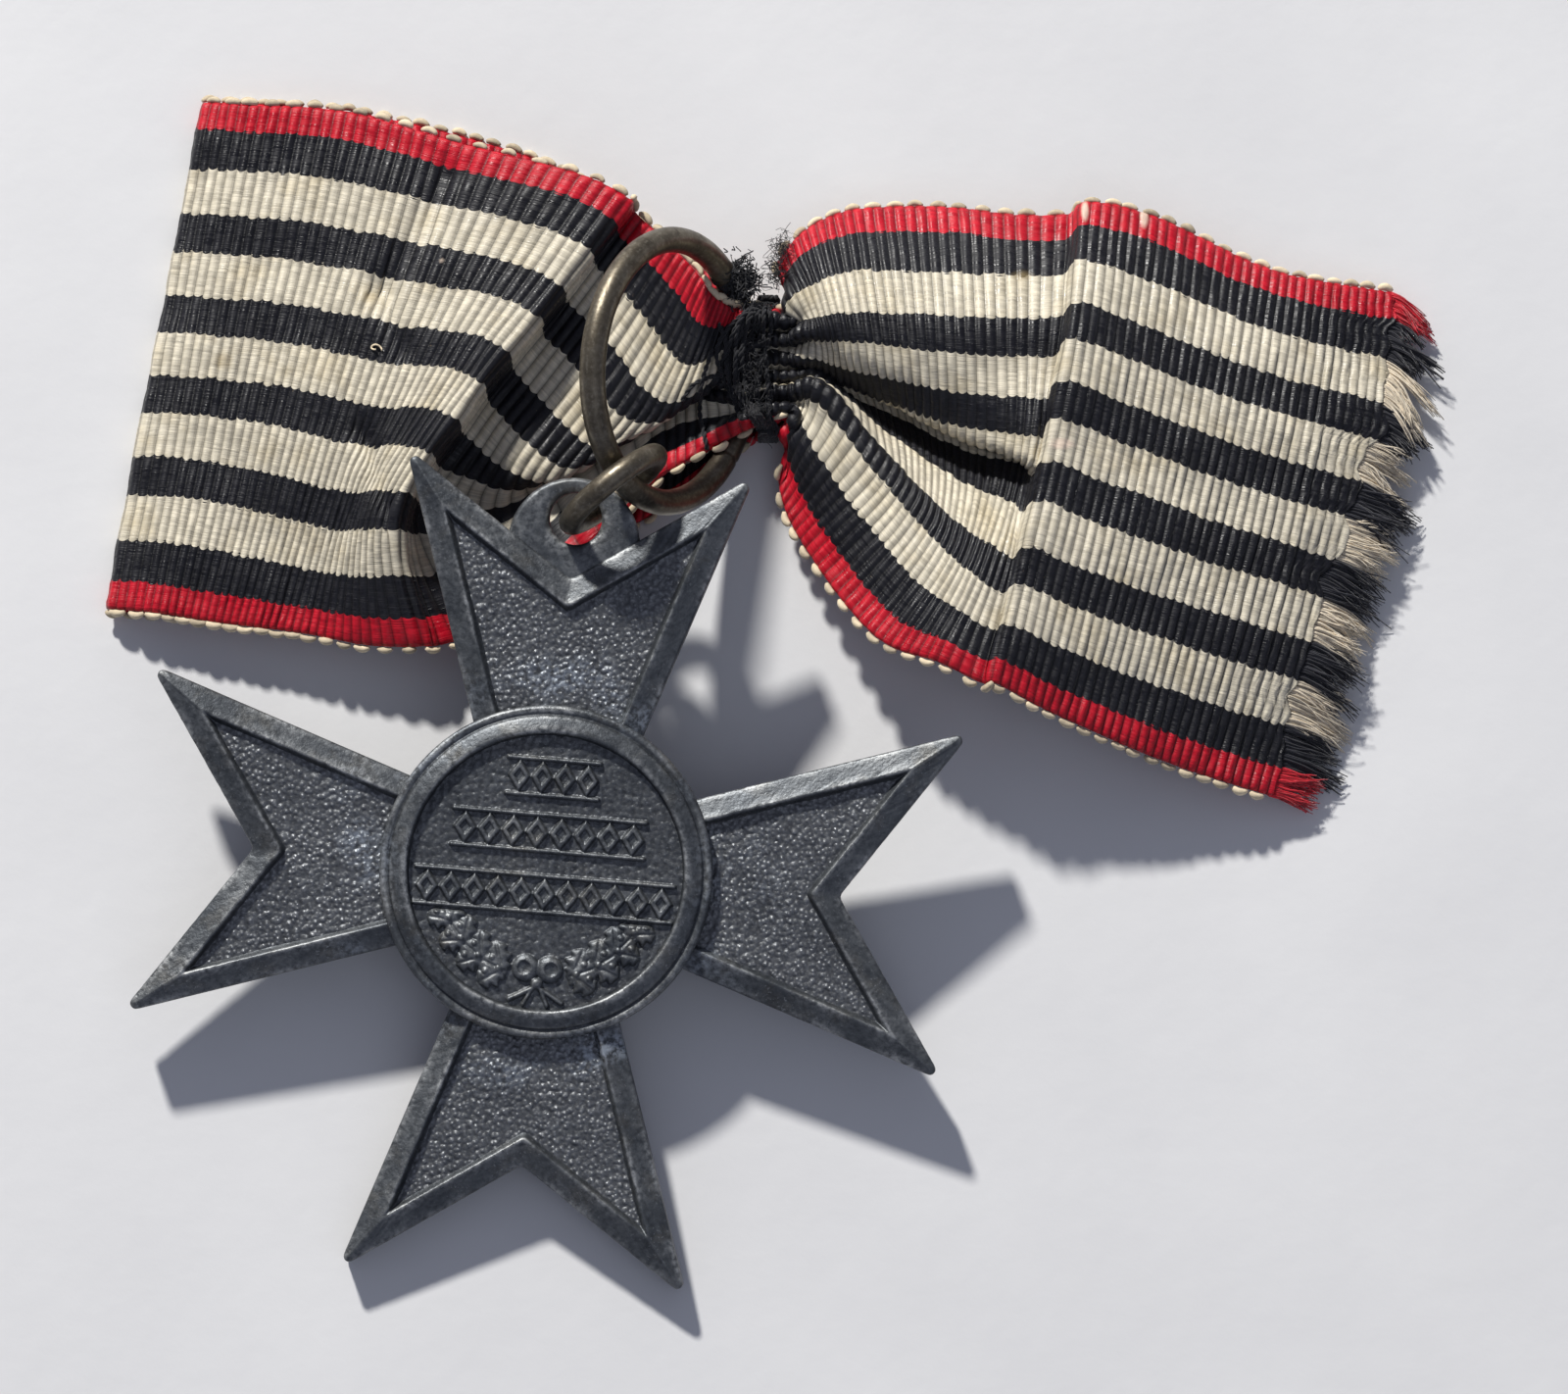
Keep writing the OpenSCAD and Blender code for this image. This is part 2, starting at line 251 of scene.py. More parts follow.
def random_at(tree, x, y):
    """One random number for each pair of whole numbers."""
    seed = add_node(tree, "CombineXYZ", {"X": x, "Y": y}).outputs[0]
    return add_node(tree, "TexWhiteNoise", {"Vector": seed}).outputs["Value"]


def value_of(tree, name):
    """A value that the piece carries at each of its points."""
    return add_node(tree, "Attribute", attribute_name=name).outputs["Fac"]


def bumps(tree, height, strength, distance_mm, under=None):
    inputs = {"Height": height, "Strength": strength, "Distance": distance_mm * MM}
    if under is not None:
        inputs["Normal"] = under
    return add_node(tree, "Bump", inputs).outputs[0]


def new_material(name, **sockets):
    material = bpy.data.materials.new(name)
    material.use_nodes = True
    shader = material.node_tree.nodes["Principled BSDF"]
    for key, value in sockets.items():
        shader.inputs[key.replace("_", " ")].default_value = value
    return material, material.node_tree


def finished(material, colour, normal, roughness=None):
    """The material with its varying inputs connected."""
    tree = material.node_tree
    shader = tree.nodes["Principled BSDF"]
    tree.links.new(colour, shader.inputs["Base Color"])
    tree.links.new(normal, shader.inputs["Normal"])
    if roughness is not None:
        tree.links.new(roughness, shader.inputs["Roughness"])
    return material


# ---- Materials ----
STRIPE_COLOURS = {"red": (0.57, 0.004, 0.020), "black": (0.008, 0.008, 0.012),
                  "white": (0.71, 0.645, 0.505)}
# The stripes' widths and the ribs' pitch in millimetres
STRIPES = (2, 2, 2.08, 2.02, 2.25, 2.05, 2.2, 2.05, 2.25, 2.02, 2.08, 2, 2)
WIDTH = sum(STRIPES)
PITCH = 0.51
YARNS_PER_MM = 8.0
# What wear, dirt and patina show, and the painted shade in hollows, with full opacity
BARE_WEFT = (0.72, 0.58, 0.46, 1)
STAIN = (0.36, 0.27, 0.13, 1)
SPECK = (0.2, 0.15, 0.09, 1)
BROWN_ZINC = (0.115, 0.108, 0.092, 1)
DARK_GROUND_AND_SHADE_ZINC = (0.022, 0.025, 0.03, 1)
RUBBED_ZINC = (0.43, 0.44, 0.44, 1)
PALE_FLECK = (0.34, 0.36, 0.38, 1)
PALE_BLOOM = (0.36, 0.4, 0.45, 1)
RUBBED_WIRE = (0.34, 0.31, 0.25, 1)


def stripe_name(stripe):
    if stripe in (0, len(STRIPES) - 1):
        return "red"
    return "black" if stripe % 2 else "white"


def stripe_stops():
    """Where each stripe starts, as a share of the width, and its colour."""
    starts = np.cumsum((0.0,) + STRIPES[:-1])
    return [(start / WIDTH, STRIPE_COLOURS[stripe_name(i)]) for i, start in enumerate(starts)]


def grosgrain():
    """The ribbon: warp stripes over round ribs, each rib nudging the stripe edges."""
    material, tree = new_material(
        "grosgrain", Sheen_Weight=0.05, Sheen_Roughness=0.4, Specular_IOR_Level=0.35)
    along = value_of(tree, "along")
    across = value_of(tree, "across")
    rib = calc(tree, "DIVIDE", along, PITCH)
    index = calc(tree, "FLOOR", rib)
    phase = calc(tree, "SUBTRACT", rib, index)
    groove = calc(tree, "ABSOLUTE", calc(tree, "SUBTRACT", calc(tree, "MULTIPLY", phase, 2.0), 1.0))
    random = random_at(tree, index, calc(tree, "FLOOR", across))
    nudge = calc(tree, "MULTIPLY_ADD", random, 0.14, -0.07)
    bulge = calc(tree, "MULTIPLY", calc(tree, "POWER", groove, 2.0), 0.15)
    place = calc(tree, "ADD", calc(tree, "ADD", across, nudge), bulge)
    colour = ramp(tree, calc(tree, "DIVIDE", place, WIDTH), *stripe_stops(), how="CONSTANT")
    where = add_node(tree, "CombineXYZ", {"X": along, "Y": across}).outputs[0]
    fine = add_node(tree, "Mapping", {"Vector": where, "Scale": (1.3, 14, 1)}).outputs[0]
    threads = noise(tree, fine, 1.0, 2.0)
    soil = noise(tree, where, 0.35, 5.0, 0.6)
    yarn_number = calc(tree, "FLOOR", calc(tree, "MULTIPLY", across, YARNS_PER_MM))
    float_yarn = random_at(tree, index, yarn_number)
    # Multiplied into the stripes: soiling; painted shade with some dirt in the grooves between ribs;
    # thread streaks; a tone for each rib and each yarn
    dirt_tones_and_groove_shade = (ramp(tree, soil, (0.5, (1, 1, 1)), (0.75, (0.88, 0.83, 0.72))),
              ramp(tree, groove, (0.45, 1), (0.85, 0.66), (1, 0.3)),
              ramp(tree, threads, (0.3, 0.84), (0.7, 1.1)),
              ramp(tree, random, (0, 0.86), (1, 1.05)),
              ramp(tree, float_yarn, (0, 0.84), (1, 1.1)))
    for shade in dirt_tones_and_groove_shade:
        colour = mixed(tree, 1.0, colour, shade, "MULTIPLY")
    worn = ramp(tree, value_of(tree, "worn"), (0.3, 0), (0.7, 0.85))
    colour = mixed(tree, worn, colour, BARE_WEFT)
    stain = ramp(tree, value_of(tree, "stain"), (0.2, 0), (0.8, 0.45))
    colour = mixed(tree, stain, colour, STAIN)
    specks = ramp(tree, noise(tree, where, 2.6, 2), (0.75, 0), (0.8, 0.5))
    colour = mixed(tree, specks, colour, SPECK)
    normal = bumps(tree, calc(tree, "MULTIPLY_ADD", float_yarn, 0.5, threads), 0.5, 0.06)
    return finished(material, colour, normal, calc(tree, "MULTIPLY_ADD", float_yarn, 0.3, 0.28))


def yarn(name, colour, shine, rough):
    """Yarn or thread: fine streaks, and for each strand its own shade."""
    material, tree = new_material(name, Sheen_Weight=shine, Specular_IOR_Level=0.3)
    where = millimetres(tree)
    streak = noise(tree, where, 3.0, 4.0)
    dark = tuple(c * 0.55 for c in colour)
    light = tuple(min(1.0, c * 1.25) for c in colour)
    strand = value_of(tree, "shade")
    shade = ramp(tree, calc(tree, "MULTIPLY_ADD", streak, 0.6, calc(tree, "MULTIPLY", strand, 0.4)),
                 (0.25, dark), (0.75, light))
    normal = bumps(tree, noise(tree, where, 9.0, 2.0), 0.4, 0.03)
    return finished(material, shade, normal, ramp(tree, streak, (0.2, rough - 0.1), (0.8, rough + 0.1)))


def oxidised_zinc():
    """Struck zinc gone dark blue-grey, worn pale on its edges, with a pebbled ground, and painted shade
    in its hollows and between its pebbles.
    """
    material, tree = new_material("oxidised_zinc", Metallic=0.66, Specular_IOR_Level=0.5)
    where = millimetres(tree)
    wear = value_of(tree, "wear")
    hollow = value_of(tree, "hollow")
    grain = value_of(tree, "grain")
    cloud = noise(tree, where, 0.32, 8.0, 0.62, 0.6)
    fine = noise(tree, where, 3.2, 5.0, 0.6)
    pits = noise(tree, where, 7.0, 3.0, 0.6)
    drift = add_node(tree, "Mapping", {"Vector": where, "Location": (31, 7, 3)}).outputs[0]
    brown = noise(tree, drift, 0.5, 6.0, 0.6)
    base = ramp(tree, cloud, (0.3, (0.053, 0.06, 0.069)), (0.52, (0.087, 0.095, 0.104)),
                (0.72, (0.128, 0.136, 0.143)))
    base = mixed(tree, ramp(tree, brown, (0.52, 0), (0.72, 0.6)), base, BROWN_ZINC)
    pale = ramp(tree, cloud, (0.3, (0.128, 0.135, 0.147)), (0.7, (0.212, 0.221, 0.233)))
    base = mixed(tree, grain, base, pale)
    pebble = add_node(tree, "TexVoronoi", {"Vector": where, "Scale": 4.1, "Smoothness": 0.6},
                      feature="SMOOTH_F1").outputs["Distance"]
    # Painted highlight on each pebble's top and painted shade between the pebbles, on the grained fields
    base = mixed(tree, grain, base, ramp(tree, pebble, (0.08, 1.25), (0.5, 0.66)), "MULTIPLY")
    base = mixed(tree, 1, base, ramp(tree, fine, (0.3, 0.74), (0.7, 1.24)), "MULTIPLY")
    # The "hollow" value paints shade in grooves, at the foot of walls and in the grain's low places, and
    # a darker ground on the medallion's face
    base = mixed(tree, calc(tree, "MULTIPLY", hollow, 0.55), base, DARK_GROUND_AND_SHADE_ZINC)
    rubbed = calc(tree, "MULTIPLY", wear, ramp(tree, fine, (0.37, 0.1), (0.7, 1)))
    base = mixed(tree, rubbed, base, RUBBED_ZINC)
    flecks = calc(tree, "MULTIPLY", ramp(tree, pits, (0.6, 0), (0.68, 0.5)),
                  ramp(tree, brown, (0.42, 0), (0.6, 1)))
    base = mixed(tree, flecks, base, PALE_FLECK)
    powder = ramp(tree, fine, (0.42, 0), (0.62, 1))
    bloom = calc(tree, "MULTIPLY", value_of(tree, "bloom"), powder)
    base = mixed(tree, bloom, base, PALE_BLOOM)
    smooth_gloss = ramp(tree, fine, (0.25, 0.36), (0.75, 0.56))
    grained_gloss = ramp(tree, fine, (0.25, 0.33), (0.75, 0.54))
    height = calc(tree, "MULTIPLY", calc(tree, "SUBTRACT", 0.6, pebble), grain)
    normal = bumps(tree, height, 0.55, 0.19, bumps(tree, fine, 0.25, 0.12))
    normal = bumps(tree, pits, 0.35, 0.05, normal)
    return finished(material, base, normal, mixed(tree, grain, smooth_gloss, grained_gloss))


def tarnished_wire():
    """Drawn wire gone brown, with scratches along it and brighter rubs."""
    material, tree = new_material("tarnished_wire", Metallic=0.85, Specular_IOR_Level=0.5)
    where = millimetres(tree)
    cloud = noise(tree, where, 0.9, 7.0, 0.62, 0.4)
    fine = noise(tree, where, 5.0, 4.0, 0.6)
    base = ramp(tree, cloud, (0.28, (0.075, 0.062, 0.046)), (0.5, (0.135, 0.115, 0.085)),
                (0.74, (0.2, 0.178, 0.138)))
    base = mixed(tree, 1, base, ramp(tree, fine, (0.3, 0.88), (0.7, 1.1)), "MULTIPLY")
    bright = ramp(tree, fine, (0.45, 0), (0.75, 0.6))
    rubbed = calc(tree, "MULTIPLY", value_of(tree, "wear"), bright)
    base = mixed(tree, rubbed, base, RUBBED_WIRE)
    normal = bumps(tree, fine, 0.2, 0.04, bumps(tree, cloud, 0.15, 0.1))
    return finished(material, base, normal, ramp(tree, cloud, (0.3, 0.5), (0.7, 0.32)))


def pale_board():
    """The table the medal lies on."""
    material, tree = new_material("pale_board", Roughness=0.6, Specular_IOR_Level=0.3)
    where = millimetres(tree)
    tint = noise(tree, where, 0.05, 5.0)
    colour = ramp(tree, tint, (0.3, (0.7, 0.7, 0.705)), (0.7, (0.76, 0.76, 0.76)))
    return finished(material, colour, bumps(tree, noise(tree, where, 0.6, 4.0), 0.12, 0.2))


RIBBON_LOOK = grosgrain()
PICOT_LOOK = yarn("picot_cotton", (0.66, 0.55, 0.38), 0.2, 0.7)
YARN_LOOKS = {"red": yarn("red_yarn", (0.60, 0.010, 0.025), 0.3, 0.6),
              "black": yarn("black_yarn", (0.016, 0.016, 0.023), 0.25, 0.6),
              "white": yarn("white_yarn", (0.80, 0.695, 0.53), 0.3, 0.38)}
THREAD_LOOK = yarn("black_cotton", (0.014, 0.014, 0.017), 0.2, 0.75)
ZINC_LOOK = oxidised_zinc()
WIRE_LOOK = tarnished_wire()


# ---- The two rings, as the model has them ----
def ring_place(centre, radius, wire, u, w):
    """A ring's centre, its radius to the wire's middle, the wire's radius, and its directions."""
    u = np.array(u)
    w = np.array(w)
    return {"centre": np.array(centre), "radius": radius, "wire": wire,
            "u": unit(u), "w": unit(w), "axis": unit(np.cross(u, w))}


RIBBON_RING = ring_place((-5.9, 15.9, 6.95), 6.8, 0.68, (-0.5507, 0.0971, 0.8290), (0.1736, 0.9848, 0.0))
JUMP_RING = ring_place((-8.8, 9.4, 8.35), 2.8, 0.60, (0.7880, 0.6157, 0.0), (0.0, 0.0, 1.0))


def keep_clear(points, ring, gap):
    """Moves points that come too close to a ring's wire out of its way."""
    away = points - ring["centre"]
    height = away @ ring["axis"]
    flat = away - height[..., None] * ring["axis"]
    core = ring["centre"] + unit(flat) * ring["radius"]
    from_core = points - core
    distance = np.linalg.norm(from_core, axis=-1, keepdims=True)
    least = ring["wire"] + gap
    return np.where(distance < least, core + unit(from_core) * least, points)


def wire_ring(name, ring, seed, seam, body, replaced):
    """A ring of bent wire, slightly dented, with a groove where its two ends meet."""
    count = 420
    sides = 36
    turn = circle(count)[:, None]
    round_wire = circle(sides)[None, :]
    out = ring["u"] * np.cos(turn)[..., None] + ring["w"] * np.sin(turn)[..., None]
    dents = waves(seed, 14, 0.25, 1.6)(turn * 3, round_wire * 0.5)
    scratches = waves(seed + 1, 18, 0.05, 0.3)(turn * 0.6, round_wire)
    gap = np.abs((turn - seam + math.pi) % TURN - math.pi) * ring["radius"]
    notch = np.exp(-(gap / 0.09) ** 2)
    size = ring["wire"] * (0.99 - 0.006 * np.abs(dents) - 0.10 * notch)
    around = out * np.cos(round_wire)[..., None] + ring["axis"] * np.sin(round_wire)[..., None]
    points = ring["centre"] + out * ring["radius"] + around * size[..., None]
    quads = grid_quads(count, sides, wrap=True, closed=True)
    wear = np.clip(0.35 + 0.5 * scratches, 0, 1) * (1 - notch)
    add_piece(name, points.reshape(-1, 3), quads, body, "old_wire", WIRE_LOOK, replaced, wear=wear)


wire_ring("ribbon_ring_wire", RIBBON_RING, 11, 3.6, "ribbon_ring", ["ribbon_ring"])
wire_ring("jump_ring_wire", JUMP_RING, 21, 4.4, "jump_ring", ["jump_ring"])


# ---- The ribbon: one strip from the seam, back, round the left fold and out to the cut end ----
# Lines across the strip from its upper edge to its lower edge, five points of its middle to each
STRIP = [
    [[0.5, 20.2, 0.5], [0.5, 18.6, 0.5], [0.5, 17, 0.5], [0.5, 15.4, 0.5], [0.5, 14, 0.5]],
    [[-0.8, 20.2, 0.5], [-0.8, 18.6, 0.5], [-0.8, 17, 0.5], [-0.8, 15.4, 0.5], [-0.8, 14, 0.5]],
    [[-3, 21.5, 0.2], [-3, 19, 0.2], [-3, 16.8, 0.2], [-3, 14.5, 0.2], [-3.2, 12.5, 0.2]],
    [[-7, 25, 0.2], [-7, 21, 0.2], [-7, 17, 0.2], [-7.2, 13, 0.2], [-7.5, 9.3, 0.2]],
    [[-13, 28.6, 0.2], [-13.5, 22.8, 0.2], [-14, 17.3, 0.2], [-14.5, 11.5, 0.2], [-15, 6, 0.2]],
    [[-22, 31, 0.2], [-22.7, 24.2, 0.2], [-23.5, 17.5, 0.2], [-24.3, 10.7, 0.2], [-25, 4, 0.2]],
    [[-28.5, 31.6, 0.2], [-29.7, 24.8, 0.2], [-30.9, 18, 0.2], [-32.1, 11.2, 0.2], [-33.3, 4.4, 0.2]],
    [[-30.4, 31.5, 0.9], [-31.6, 24.8, 0.9], [-32.8, 18, 0.9], [-34, 11.2, 0.9], [-35.2, 4.5, 0.9]],
    [[-28, 31.2, 1.6], [-29.2, 24.5, 1.7], [-30.4, 17.7, 1.8], [-31.6, 11, 1.7], [-32.9, 4.2, 1.6]],
    [[-23, 30.7, 2.2], [-24.4, 23.9, 2.5], [-26, 17.1, 2.6], [-27.6, 10.2, 2.3], [-29.3, 3.6, 1.8]],
    [[-16.5, 28.6, 3.6], [-18.6, 22.5, 3.8], [-21, 15.8, 3.8], [-23.4, 9, 3], [-25, 3, 2]],
    [[-10.7, 26.8, 4.8], [-14.1, 21.3, 4.9], [-17.8, 15.4, 4.8], [-21.4, 8.8, 4.2], [-21.5, 2.3, 2.4]],
    [[-8.2, 25.5, 5.1], [-12, 20.2, 5.3], [-16.4, 14.7, 5.1], [-20, 8.7, 4.5], [-18.8, 2.2, 2.7]],
    [[-8, 25.3, 4.4], [-11.9, 20, 3.8], [-16.3, 14.5, 3.5], [-19.6, 8.7, 3.2], [-17.7, 2.4, 2.2]],
    [[-7.6, 24.8, 4], [-11.6, 19.7, 2.7], [-15.9, 14.2, 2.2], [-18.9, 8.9, 1.7], [-15.6, 3.3, 1.5]],
    [[-5.7, 22.9, 4.3], [-9.4, 17.5, 2.9], [-13.6, 12, 2.5], [-14.6, 9.4, 1.1], [-12.6, 5.6, 1.3]],
    [[-4.5, 21.6, 4.5], [-7.9, 15.5, 2.9], [-11.4, 11.4, 2.2], [-10.8, 12.2, 1.1], [-9.2, 8.6, 1.4]],
    [[-3.7, 20.4, 4.6], [-6.3, 14.6, 3.1], [-8, 13.6, 1.9], [-7, 14.8, 1.1], [-6.6, 11.2, 1.9]],
    [[-2.9, 19.9, 4.4], [-4.3, 15.6, 3.4], [-5, 15.9, 2.1], [-4.6, 15.6, 1.6], [-4.6, 12.3, 2.5]],
    [[-2, 19.8, 4.1], [-2.2, 18, 3.5], [-2.2, 16.6, 2.9], [-2.2, 15.2, 2.7], [-2.1, 13.7, 3]],
    [[-0.9, 20, 3.4], [-0.9, 18.5, 3], [-0.9, 17, 2.6], [-0.9, 15.5, 2.5], [-0.9, 14.1, 2.7]],
    [[0.5, 20, 3.3], [0.5, 18.5, 3.1], [0.5, 17, 2.4], [0.5, 15.5, 2.6], [0.5, 14.1, 2.6]],
    [[-0.2, 22.7, 2.8], [1.4, 18.8, 4.2], [1.8, 16.7, 2.2], [2, 15.3, 3.4], [-0.2, 10.9, 1.6]],
    [[2.7, 25.2, 2.3], [3.8, 18.8, 4.9], [4.6, 14.9, 1.6], [5.2, 11.3, 4], [1.2, 7.3, 2.4]],
    [[8, 25.6, 2], [8.4, 18.4, 5.3], [8.6, 12.9, 2.4], [8.3, 7.6, 5], [4.7, 2.4, 4.6]],
    [[12.2, 25.1, 2.4], [12.2, 18.3, 5.2], [12, 11.8, 4], [10.3, 5.7, 5.8], [8, 0.8, 5.8]],
    [[14.9, 25.1, 2.5], [14.4, 18.4, 5.2], [13.2, 11.6, 5], [11.6, 4.9, 5.9], [10.2, -0.3, 5.9]],
    [[15.9, 25.6, 3.2], [15.2, 19, 5.9], [14, 12.4, 6.2], [12.4, 5.4, 6.4], [11, -0.4, 6.2]],
    [[19.4, 24.9, 3], [18.5, 18, 5], [17.3, 11.3, 5.4], [15.6, 4.2, 5.6], [14, -1.8, 5.2]],
    [[25.8, 22.2, 2], [24.8, 15.9, 3.4], [23.4, 9.4, 3.8], [21.6, 2.5, 3.8], [19.8, -4, 3.2]],
    [[32.6, 21.2, 0.9], [31.9, 14.4, 1.5], [30.6, 7.6, 1.7], [28.8, 0.8, 1.5], [26.6, -5.8, 0.9]],
]
FOLD_LINE = 7
RIDGE_LINE = 12
SEAM_LINE = 20
ALONG_STEPS = 24
ACROSS_STEPS = 22
STEPS_PER_RIB = 7
LOWEST_MIDDLE = 0.2
THROAT_SHARE = 0.86
PLEATS = 6.5


def smooth_rows(rows, steps):
    """A smooth curve through every row of points, with steps places to each gap."""
    rows = np.asarray(rows, float)
    last = len(rows) - 1
    t = (np.arange(steps) / steps).reshape((-1,) + (1,) * (rows.ndim - 1))
    pieces = []
    for i in range(last):
        a = rows[max(i - 1, 0)]
        b = rows[i]
        c = rows[i + 1]
        d = rows[min(i + 2, last)]
        pieces.append(0.5 * (2 * b + (c - a) * t + (2 * a - 5 * b + 4 * c - d) * t ** 2
                             + (3 * b - a - 3 * c + d) * t ** 3))
    return np.concatenate(pieces + [rows[-1:]])


def strip_surface():
    """The strip's middle as lanes[j][i], j across it and i along it, and each i's place and line."""
    surface = smooth_rows(STRIP, ALONG_STEPS)
    surface = np.swapaxes(smooth_rows(np.swapaxes(surface, 0, 1), ACROSS_STEPS), 0, 1)
    surface[..., 2] = np.maximum(surface[..., 2], LOWEST_MIDDLE)
    line = np.arange(len(surface)) / ALONG_STEPS
    step = np.linalg.norm(np.diff(surface, axis=0), axis=2)
    # In the throat the lower half rolls up, so the length there is a share of the upper half's
    in_throat = (line[:-1] > RIDGE_LINE) & (line[:-1] < SEAM_LINE)
    upper = step[:, :2 * ACROSS_STEPS]
    step = np.where(in_throat, THROAT_SHARE * upper.mean(axis=1), step.mean(axis=1))
    woven = np.concatenate([[0.0], np.cumsum(step)])
    woven = woven - woven[FOLD_LINE * ALONG_STEPS]
    count = int((woven[-1] - woven[0]) / PITCH * STEPS_PER_RIB)
    places = np.linspace(woven[0], woven[-1], count)
    lanes = [[np.interp(places, woven, surface[:, j, k]) for k in range(3)]
             for j in range(surface.shape[1])]
    return np.transpose(np.array(lanes), (0, 2, 1)), places, np.interp(places, woven, line)


def normals_of(lanes):
    along = np.gradient(lanes, axis=1)
    across = np.gradient(lanes, axis=0)
    return unit(np.cross(along, across))


def pleated(lanes, line):
    """Takes up the width that the knotted thread squeezes out, in pleats."""
    width = np.linalg.norm(np.diff(lanes, axis=0), axis=2).sum(axis=0)
    spare = np.sqrt(np.maximum(WIDTH / np.minimum(width, WIDTH) - 1, 0))
    share = np.linspace(0, 1, len(lanes))[:, None]
    wobble = waves(5, 6, 0.3, 0.9)(share, line[None, :] * 0.1)
    phase = TURN * (share * PLEATS + 0.12 * wobble)
    near = between(line, 17.5, 2, 21.2, 1.6)
    near = np.maximum(near, 0.8 * (1 - ease((line - 1) / 2)))
    height = np.minimum(width / PLEATS / math.pi * spare * 0.75, 0.55) * near
    return lanes + normals_of(lanes) * (np.sin(phase) * height)[..., None]


def tucked(lanes, line):
    """Folds the tail over itself beside the thread: a raised lip over a deep tuck."""
    place = np.linspace(0, WIDTH, len(lanes))[:, None]
    below = place - (12.2 + 0.6 * (line - 23))[None, :]
    near = between(line, 22.2, 1.3, 25.3, 1.2)
    raised = ease((below + 6) / 5) * (1 - ease(below / 0.7))
    sunk = ease(below / 0.7) * (1 - ease((below - 1.2) / 4.5))
    drawn = ease(below / 0.8) * (1 - ease((below - 0.8) / 6))
    shift = np.stack([0.2 * drawn, 1.0 * drawn, 1.4 * raised - 1.0 * sunk], axis=-1)
    return lanes + shift * near[None, :, None]


# Soft creases in the front layer: both ends as seen from above, depth and half width
CREASES = (((-17.6, 26.9), (-20.9, 20.9), 0.4, 0.8), ((-20.9, 20.9), (-19.8, 17.6), 0.3, 0.7),
           ((-21.9, 13.4), (-20, 8.2), 0.35, 0.6), ((-23.6, 25), (-25.2, 19), 0.12, 1.2))


def creased(lanes, line):
    """Presses the soft creases into the front layer."""
    share = between(line, 8.3, 0.7, 11.6, 0.3)
    for first, second, depth, half in CREASES:
        away = distance_to_line(lanes[..., 0], lanes[..., 1], first, second)
        lanes[..., 2] -= depth * share * np.exp(-(away / half) ** 2)
    return lanes


# For each stripe: how far the weave has come undone, and its loose yarns' length and lean
UNDONE = (0.7, 0.8, 0.9, 0.5, 1.4, 1.5, 1.4, 2.1, 1.9, 2, 2.2, 1.6, 1.5)
TUFTS = (2.1, 2.7, 2.7, 2.4, 3, 3.7, 3.1, 3.9, 3.3, 3.7, 3.6, 3.7, 2.8)
LEANS = (0.6, 0.6, 0.8, 0.5, 0.3, 0.15, 0.1, 0.15, 0.25, 0.15, 0.2, 0.1, 0.05)
# The length at the cut end over which the weave is drawn back
DRAWN_BACK = 6


def cut_back(lanes, places, width_place):
    """Ends the weave unevenly; gives the lanes and each point's place along the strip."""
    middles = np.cumsum(STRIPES) - np.array(STRIPES) / 2
    undone = np.interp(width_place, middles, UNDONE)
    undone = undone + 0.12 * waves(32, 8, 0.6, 2.0)(width_place, 0.0)
    start = places[-1] - DRAWN_BACK
    share = (places[-1] - undone - start) / DRAWN_BACK
    woven = np.where(places > start, start + (places - start) * share[:, None], places)
    for lane, at in zip(lanes, woven):
        for k in range(3):
            lane[:, k] = np.interp(at, places, lane[:, k])
    return lanes, woven


def rib_heights(lane_share, width_place, places, woven):
    """Half the cloth's thickness at each point: uneven round ribs, thinner at both edges."""
    rng = np.random.default_rng(41)
    rib_number = np.floor(woven / PITCH)
    rib_size = 0.145 * (1 + 0.12 * rng.standard_normal(400))
    rib_wave = np.abs(np.cos(math.pi * (woven / PITCH - 0.5))) ** 0.65
    rib = rib_size[(rib_number - rib_number.min()).astype(int)] * rib_wave
    rough = waves(42, 18, 0.5, 2.0)(width_place[:, None], places[None, :] * 2.0)
    height = 0.11 + rib * (1 + 0.12 * rough)
    edge = np.minimum(lane_share, 1 - lane_share) * WIDTH
    return height * (0.55 + 0.45 * ease(edge / 0.5))[:, None]


lanes, places, line = strip_surface()
lanes = pleated(tucked(creased(lanes, line), line), line)
lane_share = np.linspace(0, 1, len(lanes))
width_place = lane_share * WIDTH
lanes, woven = cut_back(lanes, places, width_place)
soft = waves(31, 16, 2.5, 9.0)(width_place[:, None], places[None, :])
lanes = lanes + normals_of(lanes) * (0.05 * soft)[..., None]
normals = normals_of(lanes)
thickness = normals * rib_heights(lane_share, width_place, places, woven)[..., None]
RING_GAP = 0.1
LOWEST_CLOTH = 0.02


def settled(points):
    """Clear of both rings' wire, and nowhere in the table."""
    points = keep_clear(points, RIBBON_RING, RING_GAP)
    points = keep_clear(points, JUMP_RING, RING_GAP)
    points[..., 2] = np.maximum(points[..., 2], LOWEST_CLOTH)
    return points


def shell(first, second):
    """Two faces of one sheet, closed round their edges."""
    rows, cols = first.shape[:2]
    side = rows * cols
    top = grid_quads(rows, cols)
    bottom = grid_quads(rows, cols, first=side)[:, ::-1]
    down = np.arange(1, rows)
    rim = np.concatenate([np.arange(cols), down * cols + cols - 1,
                          side - 1 - np.arange(1, cols), side - cols - down[:-1] * cols])
    following = np.roll(rim, -1)
    walls = np.stack([rim, following, following + side, rim + side], axis=-1)
    points = np.concatenate([first.reshape(-1, 3), second.reshape(-1, 3)])
    return points, np.concatenate([top, bottom, walls])


